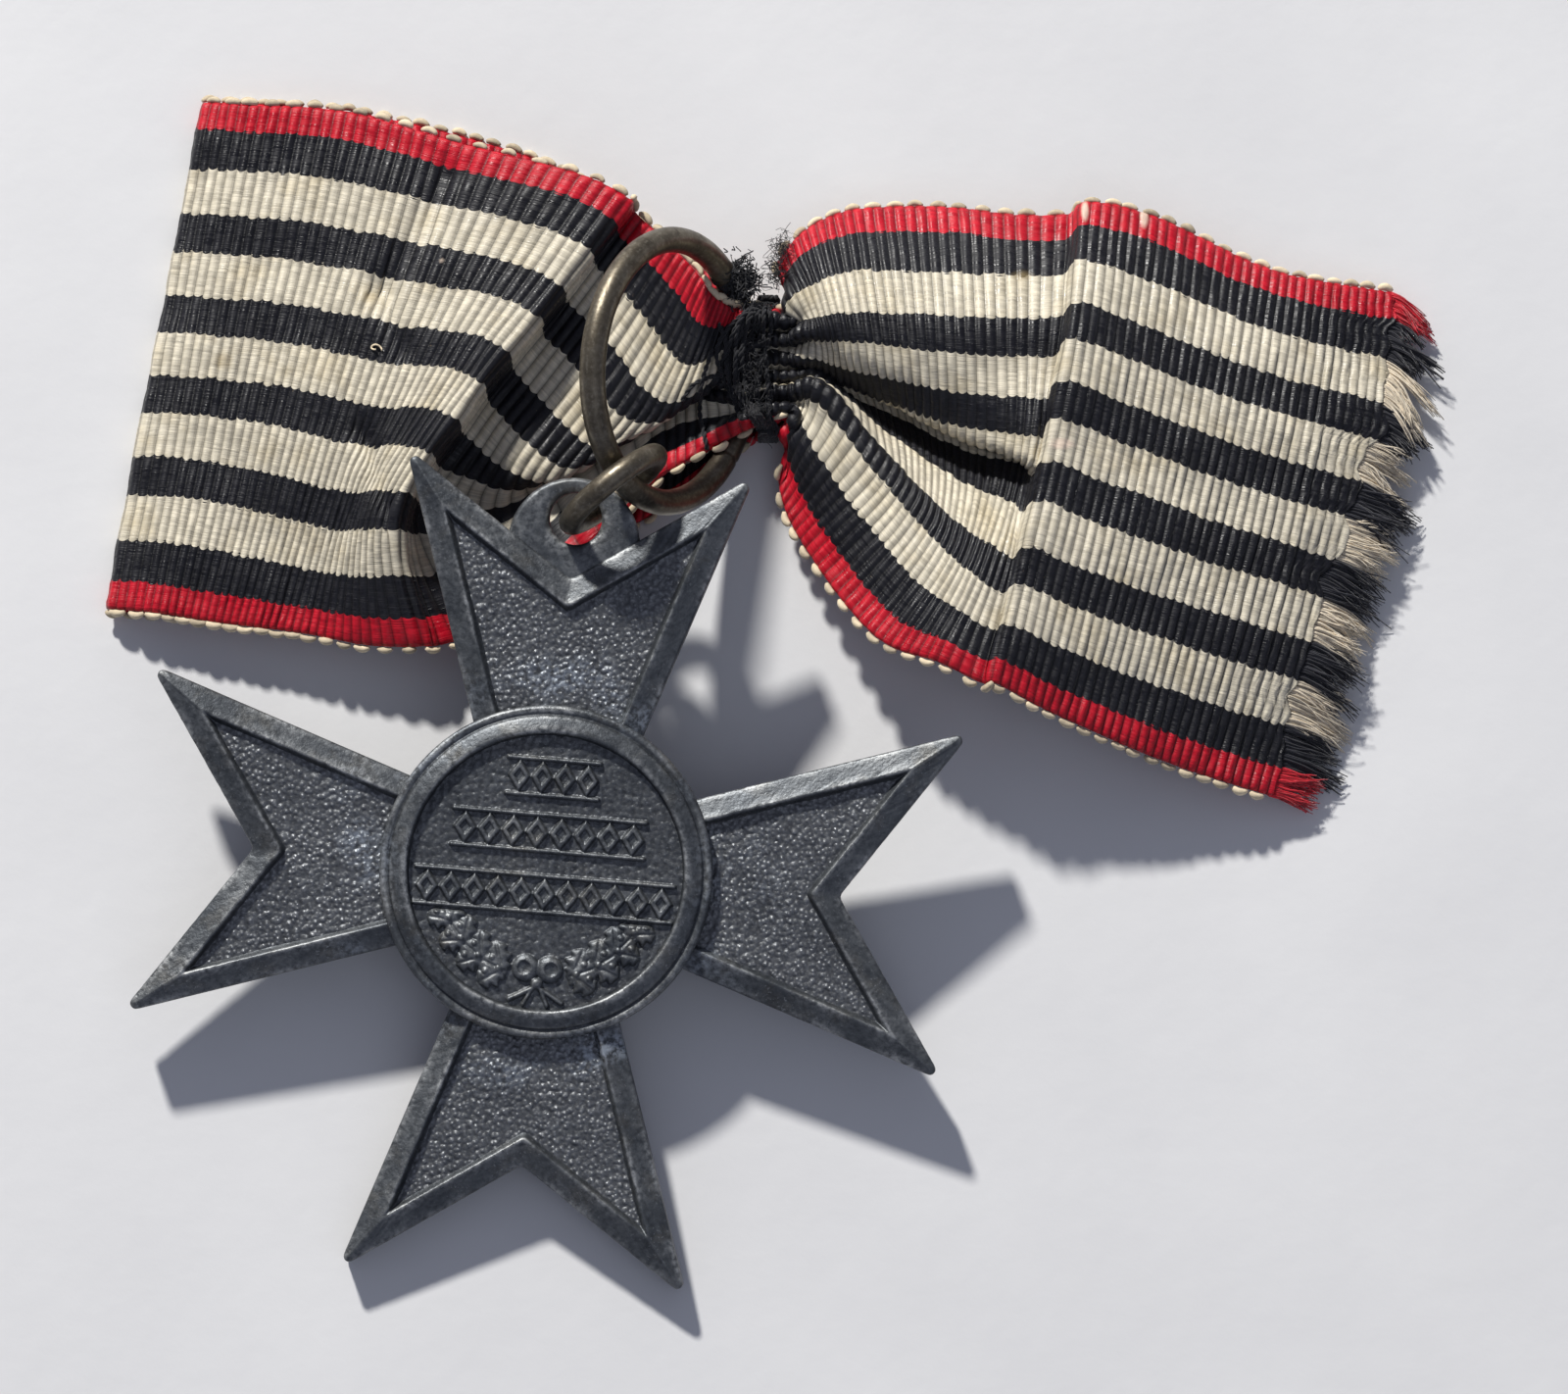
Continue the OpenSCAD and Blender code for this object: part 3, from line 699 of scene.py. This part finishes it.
# Places from above, and half widths, of threadbare spots and of stains
WORN = ((15.7, 25.1, 0.22, 0.7), (18.8, 24.9, 0.25, 0.75), (14.4, 12.2, 0.8, 0.3),
        (-17.8, 22.4, 0.18, 0.13))
STAINS = ((-29.3, 17.4, 0.5, 0.5), (12.4, 21.5, 0.6, 0.3), (-21.6, 20.6, 0.4, 0.3))


def spots(points, places):
    """How far each point lies within any of the oval spots, as a share."""
    share = np.zeros(len(points))
    for x, y, wide, high in places:
        away = ((points[:, 0] - x) / wide) ** 2 + ((points[:, 1] - y) / high) ** 2
        share = np.maximum(share, np.exp(-away))
    return share


ribbon_points, ribbon_quads = shell(settled(lanes + thickness), settled(lanes - thickness))
across_value = np.repeat(width_place, len(places))
cloth_nodes = ["ribbon_back", "ribbon_left_fold", "ribbon_front", "ribbon_valley", "ribbon_throat",
               "ribbon_waist", "ribbon_tail_gather", "ribbon_tail"]
ribbon = add_piece("ribbon_cloth", ribbon_points, ribbon_quads, "ribbon", "ribbon", RIBBON_LOOK,
                   cloth_nodes, along=np.tile(woven.ravel(), 2), across=np.tile(across_value, 2),
                   worn=spots(ribbon_points, WORN), stain=spots(ribbon_points, STAINS))
cloth_tree = BVHTree.FromPolygons([Vector(p) for p in ribbon_points.tolist()], ribbon_quads.tolist())


def cloth_top(x, y):
    """The height of the cloth under one place, or of the table where there is none."""
    hit = cloth_tree.ray_cast(Vector((x, y, 20)), Vector((0, 0, -1)))[0]
    return 0.0 if hit is None else hit.z


def add_strands(name, made, slot, look, replaced=(), ring_gap=0.0):
    """One piece of gathered tubes that ride on the ribbon, clear of the ribbon ring if asked."""
    points, quads, (shade,) = made.all()
    if ring_gap:
        points = keep_clear(points, RIBBON_RING, ring_gap)
    return add_piece(name, points, quads, "ribbon", slot, look, replaced, shade=shade)


# ---- Picots: small beads of weft that stand out of both edges ----
def picot_loops():
    made = Gathered()
    rng = np.random.default_rng(51)
    along = unit(np.gradient(lanes, axis=1))
    for lane, inner in ((0, 2), (-1, -3)):
        out = unit(lanes[lane] - lanes[inner])
        for place in np.arange(places[0] + 0.5, woven[lane, -1] - 0.4, PITCH * 2):
            i = int(np.searchsorted(woven[lane], place + rng.uniform(-0.06, 0.06)))
            half = rng.uniform(0.36, 0.44)
            bow = rng.uniform(0.08, 0.18)
            lift = rng.uniform(-0.06, 0.06)
            t = np.linspace(-1, 1, 9)[:, None]
            path = (lanes[lane, i] + along[lane, i] * t * half + out[i] * (0.10 + bow * (1 - t ** 2))
                    + normals[lane, i] * lift * (1 - t ** 2))
            size = rng.uniform(0.17, 0.22) * np.sqrt(1 - 0.75 * t[:, 0] ** 2)
            points, quads = tube(path, size, 7)
            made.add(settled(points), quads, rng.uniform())
    # A short hair curled up on the front layer
    t = np.linspace(0, 4.6, 12)
    x = -21.2 + 0.28 * np.cos(t)
    y = 17.6 + 0.22 * np.sin(t) + 0.06 * t
    z = np.array([cloth_top(a, b) for a, b in zip(x, y)]) + 0.1
    made.add(*tube(np.column_stack([x, y, z]), 0.05, 6), 1.0)
    return add_strands("ribbon_picots", made, "ribbon", PICOT_LOOK)


picots = picot_loops()


# ---- Frayed cut end: warp yarns of each stripe hanging out of the cloth ----
CLUMP_WIDTH = 0.34
YARNS_PER_CLUMP = 26
LOWEST_YARN = 0.08


def frayed_end():
    """Clumps of yarns along each stripe's end, which lean, curl and sink to the table."""
    strands = {key: Gathered() for key in YARN_LOOKS}
    rng = np.random.default_rng(61)
    end = lanes[:, -3]
    up = normals[:, -3]
    away = unit(lanes[:, -1] - lanes[:, -30])
    start = 0.0
    for stripe, width in enumerate(STRIPES):
        clumps = int(width / CLUMP_WIDTH)
        for clump in range(clumps):
            lean = LEANS[stripe] + rng.normal(0, 0.09)
            lift = rng.normal(0.04, 0.07)
            size = TUFTS[stripe] * rng.uniform(0.78, 1.05)
            for _ in range(YARNS_PER_CLUMP):
                w = start + (clump + rng.uniform()) * width / clumps
                lane = w / WIDTH * (len(lanes) - 1)
                row = min(int(lane), len(lanes) - 2)
                part = lane - row
                base = end[row] * (1 - part) + end[row + 1] * part
                side = unit(end[row + 1] - end[row])
                bend = lean + rng.normal(0, 0.08)
                rise = lift + rng.normal(0, 0.06)
                reach = size * rng.uniform(0.7, 1.05)
                t = np.linspace(0, 1, 8)[:, None]
                path = base + away[row] * t * reach + side * bend * t ** 1.6 * reach
                path = path + np.array([0, 0, 1]) * (rise * t - 0.14 * t ** 2) * reach
                path = path + side * 0.10 * np.sin(t * rng.uniform(4, 9) + rng.uniform(0, 6)) * t
                path = path + up[row] * 0.12 * np.sin(t * rng.uniform(3, 7) + rng.uniform(0, 6)) * t
                path = path + up[row] * rng.uniform(-0.12, 0.16)
                path[:, 2] = np.maximum(path[:, 2], LOWEST_YARN)
                thick = rng.uniform(0.045, 0.075) * (1 - 0.6 * t[:, 0])
                strands[stripe_name(stripe)].add(*tube(path, thick, 4), rng.uniform())
        start += width
    return [add_strands("loose_yarns_" + key, made, "yarn_" + key, YARN_LOOKS[key], ["fray_" + key])
            for key, made in strands.items()]


yarns = frayed_end()


# ---- Thread wound round the ribbon beside the ring, and its tangled ends ----
def two_ply(path, radius, made, rng):
    """Two twisted strands along a path."""
    path = np.asarray(path, float)
    step = np.concatenate([[0], np.cumsum(np.linalg.norm(np.diff(path, axis=0), axis=1))])
    count = max(int(step[-1] / 0.12), 6)
    at = np.linspace(0, step[-1], count)
    fine = np.stack([np.interp(at, step, path[:, k]) for k in range(3)], axis=-1)
    along = unit(np.gradient(fine, axis=0))
    # Square to the thread and to a direction that no thread here takes
    side = unit(np.cross(along, np.array([0.31, 0.17, 0.93])))
    other = np.cross(along, side)
    turn = at / 0.8 * TURN + rng.uniform(0, 6)
    for half in (0, math.pi):
        offset = side * np.cos(turn + half)[:, None] + other * np.sin(turn + half)[:, None]
        made.add(*tube(fine + offset * radius * 0.5, radius * 0.62, 6), rng.uniform())


def wound_thread():
    """Turns over the cloth, down past its upper edge, back under it and up past its lower edge."""
    made = Gathered()
    rng = np.random.default_rng(71)
    turns = 14
    for turn in range(turns):
        low_x = -1.25 + 0.85 * (turn + 0.5) / turns + rng.uniform(-0.08, 0.08)
        top_x = low_x - rng.choice([0.3, 0.9, 1.5, 2.1, 2.7]) * rng.uniform(0.8, 1.1)
        layer = 0.12 + 0.2 * (turn % 3)
        y = np.linspace(13.75, 20.45, 16)
        rise = np.sin(np.linspace(0, math.pi, 16)) ** 0.8
        x = low_x + (top_x - low_x) * rise + 0.16 * np.sin(y * rng.uniform(0.7, 1.9) + turn)
        z = np.array([cloth_top(a, b) for a, b in zip(x, y)]) + layer
        z = np.maximum(z, 2.4)
        over = np.stack([x, y, z], axis=-1)
        far = [[low_x, 20.75, 2.6], [low_x, 20.8, 1.4], [low_x, 20.6, 0.35]]
        back = [[low_x, b, 0.16] for b in np.linspace(20.1, 14.1, 8)]
        near = [[low_x, 13.55, 0.4], [low_x, 13.4, 1.4], [low_x, 13.5, 2.4]]
        path = np.concatenate([over, far, back, near, over[:1]])
        two_ply(smooth_rows(path, 4), 0.115, made, rng)
    add_strands("thread_turns", made, "thread", THREAD_LOOK, ["binding_thread"], 0.06)


def fibres(made, rng, centre, spread, count, reach, thick):
    """Short curled fibres scattered round a place."""
    for _ in range(count):
        middle = np.array(centre) + rng.normal(0, 1, 3) * spread
        t = np.linspace(0, 1, 9)[:, None]
        way = rng.normal(0, 1, 3)
        way = way / np.linalg.norm(way)
        curl = rng.normal(0, 0.5, 3)
        length = reach * rng.uniform(0.5, 1.4)
        path = middle + (way * (t - 0.5) + curl * np.sin(t * 5 + rng.uniform(0, 6)) * 0.5) * length
        path[:, 2] = np.maximum(path[:, 2], 0.1)
        made.add(*tube(path, thick * rng.uniform(0.7, 1.3), 5), rng.uniform())


# Loose strands over the cloth: places from above that each one passes
STRANDS = (
    ((-3.7, 17.6), (-4.2, 16.2), (-4.4, 14.8), (-4.2, 13.6), (-4, 12.6)),
    ((-5.3, 15), (-4.7, 15.8), (-3.6, 16.3), (-2.6, 16.7), (-1.8, 16.4)),
    ((-1.9, 20), (-2.2, 18.6), (-2, 17.2), (-2.3, 15.6), (-1.9, 14.2)),
    ((-3.4, 18.9), (-3, 17.8), (-3.3, 16.6), (-2.7, 15.4), (-2.2, 14)),
    ((-1.2, 19.6), (-1.7, 18.2), (-1.3, 16.6), (-1.8, 15.2), (-1.2, 13.9)),
)


def thread_ends():
    """Fluff at the ends and in the knot, and strands that lie loose over the cloth."""
    made = Gathered()
    rng = np.random.default_rng(72)
    fibres(made, rng, (-0.1, 23.2, 3.4), (0.28, 0.35, 0.25), 70, 0.7, 0.012)
    fibres(made, rng, (-0.4, 21.9, 3.5), (0.25, 0.40, 0.25), 50, 0.7, 0.018)
    fibres(made, rng, (-2.2, 21.2, 4.4), (0.45, 0.6, 0.2), 420, 0.45, 0.03)
    fibres(made, rng, (-1.6, 17.0, 4.0), (0.5, 1.7, 0.2), 110, 0.5, 0.02)
    for strand in STRANDS:
        path = smooth_rows(strand, 6)
        z = np.array([cloth_top(a, b) for a, b in path]) + 0.12
        two_ply(np.column_stack([path, z]), 0.12, made, rng)
    add_strands("thread_tangle", made, "thread", THREAD_LOOK, ["thread_tuft"], 0.05)


wound_thread()
thread_ends()


# ---- The cross ----
CROSS_CENTRE = np.array([-12.25, -9.95, 4.37])
CROSS_TURN = math.radians(-4.8)
CROSS_TILT = math.radians(9)
# The outline of the arm that points up, on its right side: where it starts, its tip, its notch
ARM_START = 5.0
ROOT = np.array([1.9, 0.0])
TIP = np.array([9.05, 21.3])
TIP_ROUND = 0.3
NOTCH = np.array([0.0, 15.15])
FIELD_INSET = 1.31
FIELD_HEIGHT = 0.62
FIELD_BACK = -0.885


def turned(a, b, angle):
    """Two coordinates turned by an angle."""
    c = math.cos(angle)
    s = math.sin(angle)
    return a * c - b * s, a * s + b * c


def placed(points):
    """From the cross's own place, face up round its centre, to where it lies."""
    x, y, z = np.moveaxis(points, -1, 0)
    y, z = turned(y, z, CROSS_TILT)
    x, y = turned(x, y, CROSS_TURN)
    return np.stack([x, y, z], axis=-1) + CROSS_CENTRE


def inset_corners(inset):
    """Right half of an arm's outline drawn in by inset: side start, tip, notch."""
    u = unit(TIP - ROOT)
    side = ROOT + inset * np.array([-u[1], u[0]])
    v = unit(NOTCH - TIP)
    end = TIP + inset * np.array([-v[1], v[0]])
    begin = side + u * (ARM_START - side[1]) / u[1]
    det = u[0] * v[1] - u[1] * v[0]
    d = end - side
    tip = side + u * (d[0] * v[1] - d[1] * v[0]) / det
    notch = end + v * (-end[0] / v[0])
    return begin, tip, notch


def rim_path(inset):
    """An arm's outline drawn in by inset, as a row of points, round at the tips."""
    begin, tip, notch = inset_corners(inset)
    u = unit(tip - begin)
    v = unit(notch - tip)
    radius = max(TIP_ROUND - inset, 0.05)
    half = math.acos(-u.dot(v)) / 2
    centre = tip - unit(u - v) * radius / math.sin(half)
    start = math.atan2(-u[0], u[1])
    a = np.linspace(start, start + math.pi - 2 * half, 14)[:, None]
    arc = centre + radius * np.concatenate([np.cos(a), np.sin(a)], axis=1)
    t = np.linspace(0, 1, 90)[:, None]
    s = np.linspace(0, 1, 60)[:, None]
    last = arc[-1] + (notch - arc[-1]) * s
    right = np.concatenate([begin + (arc[0] - begin) * t, arc[1:], last[1:]])
    left = right[::-1][1:] * np.array([-1, 1])
    path = np.concatenate([right, left])
    for _ in range(3):
        inner = (path[:-2] + path[2:]) / 2
        path[1:-1] = path[1:-1] * 0.5 + inner * 0.5
    return path


# Inset, height and wear of each line of the border, from the back round the edge to the field
BORDER = ((1.5, -0.88, 0), (1.32, -0.9, 0), (1.22, -1, 0.2), (1.12, -1.04, 0.5),
          (0.12, -1.02, 0.3), (0.03, -0.96, 0.6), (0, -0.86, 0.3), (0, 0.1, 0.1),
          (0, 0.5, 0.3), (0.03, 0.59, 0.7), (0.12, 0.64, 0.8), (0.3, 0.7, 0.2),
          (0.7, 0.86, 0.05), (1, 0.98, 0.4), (1.08, 1.02, 0.9), (1.15, 1.035, 1),
          (1.21, 1.01, 0.7), (1.26, 0.93, 0.2), (1.33, 0.74, 0), (1.4, 0.66, 0),
          (1.46, 0.6, 0))


def arm_points(made, quarter):
    """One arm: its border, the grained field inside it and the field's plain back."""
    turn = quarter * math.pi / 2
    spin = np.array([[math.cos(turn), -math.sin(turn)], [math.sin(turn), math.cos(turn)]])
    worn = waves(81 + quarter, 14, 1.5, 7.0)
    nick = waves(85 + quarter, 20, 0.4, 1.6)
    lines = []
    wear = []
    for inset, height, share in BORDER:
        path = rim_path(inset)
        rough = np.abs(nick(path[:, 0] + 3 * inset, path[:, 1]))
        level = height - 0.012 * rough * (1 if height > 0 else -1)
        flat = path * (1 - 0.0006 * rough[:, None])
        lines.append(np.column_stack([flat @ spin.T, level]))
        wear.append(np.clip(share * (0.55 + 0.45 * worn(path[:, 0], path[:, 1])), 0, 1))
    border = np.array(lines)
    # Painted shade at the foot of the border's inner wall, carried as the "hollow" value
    groove = [0.5 if 1.28 < inset < 1.42 and height > 0 else 0.0 for inset, height, _ in BORDER]
    quads = grid_quads(len(BORDER), border.shape[1])[:, ::-1]
    made.add(border, quads, np.array(wear), np.repeat(groove, border.shape[1]), 0.0)
    grain = waves(91 + quarter, 60, 0.30, 0.60)
    swell = waves(95 + quarter, 10, 3.0, 8.0)
    begin, tip, notch = inset_corners(FIELD_INSET)
    middle = np.array([0.0, ARM_START])
    a = np.linspace(0, 1, 76)[None, :, None]
    b = np.linspace(0, 1, 180)[:, None, None]
    half = (middle + (notch - middle) * b) * (1 - a) + (begin + (tip - begin) * b) * a
    for mirror in (1, -1):
        flat = half * np.array([mirror, 1])
        g = grain(flat[..., 0], flat[..., 1])
        level = FIELD_HEIGHT + 0.012 * np.tanh(1.3 * g) + 0.02 * swell(flat[..., 0], flat[..., 1])
        flat = flat @ spin.T
        quads = grid_quads(*g.shape)[:, ::mirror]
        wear = np.clip(0.16 * g, 0, 0.3)
        # The field's low places get painted shade as the "hollow" value
        made.add(np.dstack([flat, level]), quads, wear, np.clip(-0.15 * g, 0, 1), 1.0)
        back = flat[::6, ::6]
        quads = grid_quads(*back.shape[:2])[:, ::-mirror]
        made.add(np.dstack([back, np.full(back.shape[:2], FIELD_BACK)]), quads, 0.0, 0.2, 0.0)


# The lug in the upper arm's notch: its circles from the back of the worn hole over the face to
# the back, each with its middle's place up the arm, radius, height and wear
LUG = ((18.3, 1.36, -0.62, 0.4), (18.3, 1.35, -0.3, 0.2), (18.3, 1.35, 0.25, 0.3),
       (18.3, 1.39, 0.36, 0.9), (18.3, 1.48, 0.44, 1), (18.3, 1.62, 0.48, 0.6),
       (18, 2, 0.5, 0.35), (17.6, 2.6, 0.5, 0.3), (17.2, 3.05, 0.49, 0.4),
       (17.02, 3.26, 0.46, 0.9), (17, 3.35, 0.38, 1), (17, 3.4, 0.26, 0.6),
       (17, 3.4, -0.5, 0.2), (17, 3.35, -0.62, 0.5), (17, 3.2, -0.68, 0.3),
       (18.3, 1.5, -0.69, 0.3), (18.3, 1.36, -0.62, 0.4))


def turned_lines(made, rows, sides, worn, zoom, least_wear, groove):
    """Adds the faces between circles, each given by its place up the arm, radius, height and wear."""
    angle = circle(sides)
    lines = []
    wear = []
    for centre, radius, height, share in rows:
        x = radius * np.cos(angle)
        y = centre + radius * np.sin(angle)
        lines.append(np.column_stack([x, y, height + 0.008 * worn(x * zoom, y * zoom)]))
        wear.append(np.clip(share * (least_wear + (1 - least_wear) * worn(x, y)), 0, 1))
    quads = grid_quads(len(rows), sides, wrap=True)
    made.add(np.array(lines), quads, np.array(wear), np.repeat(groove, sides), 0.0)


# Radius, height and wear of each line of the medallion's rim, then of its plain back
RIM = ((7.02, 1.22, 0), (7.09, 1.34, 0), (7.14, 1.62, 0.1), (7.19, 1.7, 0.7), (7.28, 1.745, 1),
       (7.4, 1.73, 0.5), (7.6, 1.66, 0.05), (7.85, 1.56, 0), (7.98, 1.5, 0.35), (8.04, 1.45, 0.3),
       (8.09, 1.36, 0), (8.15, 1.32, 0), (8.21, 1.36, 0.3), (8.32, 1.4, 1), (8.44, 1.39, 0.8),
       (8.54, 1.33, 0.7), (8.59, 1.22, 0.4), (8.6, 1, 0.1), (8.6, -0.9, 0.1), (8.55, -1, 0.4),
       (8.4, -1.04, 0.5), (7.5, -1.04, 0.4), (7.36, -1, 0.4), (7.28, -0.9, 0), (6.9, -0.87, 0),
       (3.5, -0.87, 0.1), (0.01, -0.87, 0.1))


def leaf(x, y, centre, turn, half_length, half_width):
    """Height share of one leaf: rounded, lobed, with a groove down its middle."""
    c = math.cos(turn)
    s = math.sin(turn)
    a = ((x - centre[0]) * c + (y - centre[1]) * s) / half_length
    b = (-(x - centre[0]) * s + (y - centre[1]) * c) / half_width
    lobes = 1 + 0.20 * np.cos(a * 9.5)
    body = 1 - a ** 2 - (b / lobes) ** 2
    vein = 0.3 * np.exp(-(b / 0.15) ** 2)
    return np.sqrt(np.maximum(body, 0)) * (1 - vein)


def heading(angle):
    return np.array([math.cos(angle), math.sin(angle)])


def dome(x, y, centre, radius):
    """Height share of a round stud."""
    body = 1 - ((x - centre[0]) ** 2 + (y - centre[1]) ** 2) / radius ** 2
    return np.sqrt(np.maximum(body, 0))


def ridge(x, y, first, second, half_width):
    """Height share of a straight raised line between two places."""
    away = distance_to_line(x, y, first, second)
    return np.sqrt(np.maximum(1 - (away / half_width) ** 2, 0))


FACE_RADIUS = 7.13
FACE_HEIGHT = 1.28
# Place of its middle, half length and number of lozenges of each raised band on the medallion
BANDS = ((4.85, 2.35, 4), (2, 4.95, 8), (-1.15, 6.65, 11))


def relief(x, y):
    """Raised ornament on the medallion: three bands of lozenges over a tied garland."""
    shapes = [np.zeros_like(x)]
    for middle, half, count in BANDS:
        pitch = 2 * half / count
        for k in range(count):
            cx = (k - (count - 1) / 2) * pitch
            shape = 1 - np.abs(x - cx) / (0.56 * pitch) - np.abs(y - middle) / 0.98
            hollow = 1 - np.abs(x - cx) / (0.27 * pitch) - np.abs(y - middle) / 0.46
            shapes.append(0.25 * ease(shape * 3.4) - 0.14 * ease(hollow * 3))
        for edge in (middle - 0.93, middle + 0.93):
            shapes.append(0.22 * ridge(x, y, (-half, edge), (half, edge), 0.13))
    below_bands = ease((-2.2 - y) / 0.3)
    for side in (-1, 1):
        for k, degrees in enumerate((20, 33, 46, 59)):
            a = math.radians(-90 + side * degrees)
            stem = 5.5 * heading(a)
            run = a + side * math.pi / 2
            size = 1.02 - 0.04 * k
            for swing, reach, length in ((0.95, 0.62, 0.8), (-0.95, 0.58, 0.76), (0.05, 0.45, 0.85)):
                turn = run + side * swing
                middle = stem + heading(turn) * reach * size
                shape = leaf(x, y, middle, turn, length * size, 0.6 * size)
                shapes.append((0.32 - 0.03 * abs(swing)) * shape * below_bands)
            for swing, reach in ((0.5, 0.75), (-0.5, 0.8), (0, 0.15)):
                berry = stem + reach * heading(run + side * swing)
                shapes.append(0.37 * dome(x, y, berry, 0.24) * below_bands)
        loop = dome(x, y, (side * 0.62, -5), 0.72) - 0.6 * dome(x, y, (side * 0.7, -4.98), 0.36)
        tail = ridge(x, y, (side * 0.1, -5.95), (side * 1.35, -6.65), 0.14)
        strap = ridge(x, y, (side * 0.15, -5.9), (side * 0.62, -6.85), 0.12)
        shapes += [0.32 * loop, 0.22 * tail, 0.22 * strap]
    shapes.append(0.34 * dome(x, y, (0, -5.75), 0.33))
    return np.maximum.reduce(shapes)


def medallion_points(made):
    """The medallion: its double rim and plain back, and its face with the raised ornament."""
    worn = waves(111, 16, 2.0, 8.0)
    rows = [(0.0, radius, height, share) for radius, height, share in RIM]
    # Painted shade in the groove between the rim's two beads and at the foot of its inner wall
    groove = [0.9 if 8.06 < radius < 8.19 or radius < 7.1 else 0.0 for radius, _, _ in RIM]
    turned_lines(made, rows, 360, worn, 2, 0.5, groove)
    side = 290
    u, v = np.meshgrid(np.linspace(-1, 1, side), np.linspace(-1, 1, side))
    x = u * np.sqrt(1 - v ** 2 / 2) * FACE_RADIUS
    y = v * np.sqrt(1 - u ** 2 / 2) * FACE_RADIUS
    grain = waves(112, 60, 0.30, 0.60)(x, y)
    raised = relief(x, y)
    plain = 1 - ease(raised / 0.1)
    level = FACE_HEIGHT + 0.012 * np.tanh(1.3 * grain) * (0.35 + 0.65 * plain) + raised
    wear = np.clip(raised / 0.28, 0, 1) ** 2 * 0.5 * (0.7 + 0.3 * worn(x, y))
    # A darker ground on the face, with painted shade in the grain's low places, and none on the relief
    hollow = np.clip(0.30 - 0.3 * grain * plain - 1.2 * raised, 0, 1)
    quads = grid_quads(side, side)[:, ::-1]
    made.add(np.dstack([x, y, level]), quads, wear, hollow, 0.45 * plain)


def struck_cross():
    made = Gathered()
    for quarter in range(4):
        arm_points(made, quarter)
    turned_lines(made, LUG, 120, waves(101, 12, 0.8, 3.0), 1, 0.6, np.zeros(len(LUG)))
    medallion_points(made)
    points, quads, (wear, hollow, grain) = made.all()
    radius = np.hypot(points[:, 0], points[:, 1])
    patch = waves(121, 12, 2.0, 7.0)(points[:, 0], points[:, 1])
    # Pale bloom lies in the corner between the medallion and the arms
    bloom = np.exp(-((radius - 9.6) / 1.6) ** 2) * np.clip(0.1 + 0.4 * patch, 0, 1)
    add_piece("struck_cross", placed(points), quads, "cross", "zinc", ZINC_LOOK, ["cross"],
              wear=wear, hollow=hollow, grain=grain, bloom=bloom)


struck_cross()


# ---- Floor and light ----
floor_mesh = bpy.data.meshes.new("floor")
floor_mesh.from_pydata([(-3, -3, 0), (3, -3, 0), (3, 3, 0), (-3, 3, 0)], [], [(0, 1, 2, 3)])
floor = add_object("floor", floor_mesh)
floor.location = (0, 0, -0.00002)
floor_mesh.materials.append(pale_board())


def add_light(name, place, size, power, colour):
    data = bpy.data.lights.new(name, "AREA")
    data.shape = "DISK"
    data.size = size
    data.energy = power
    data.color = colour
    light = add_object(name, data)
    light.location = place
    light.rotation_euler = (-Vector(place)).to_track_quat("-Z", "Y").to_euler()


add_light("key", (-0.405, 0.945, 0.705), 0.10, 21.4, (1.0, 0.98, 0.94))
add_light("fill", (0.3, -0.5, 0.9), 0.9, 0.9, (0.80, 0.86, 1.0))
world = bpy.data.worlds.new("studio")
world.use_nodes = True
sky = world.node_tree.nodes["Background"].inputs
sky["Color"].default_value = (0.72, 0.77, 1.0, 1)
sky["Strength"].default_value = 0.23
bpy.context.scene.world = world
bpy.context.scene.view_settings.view_transform = "Standard"
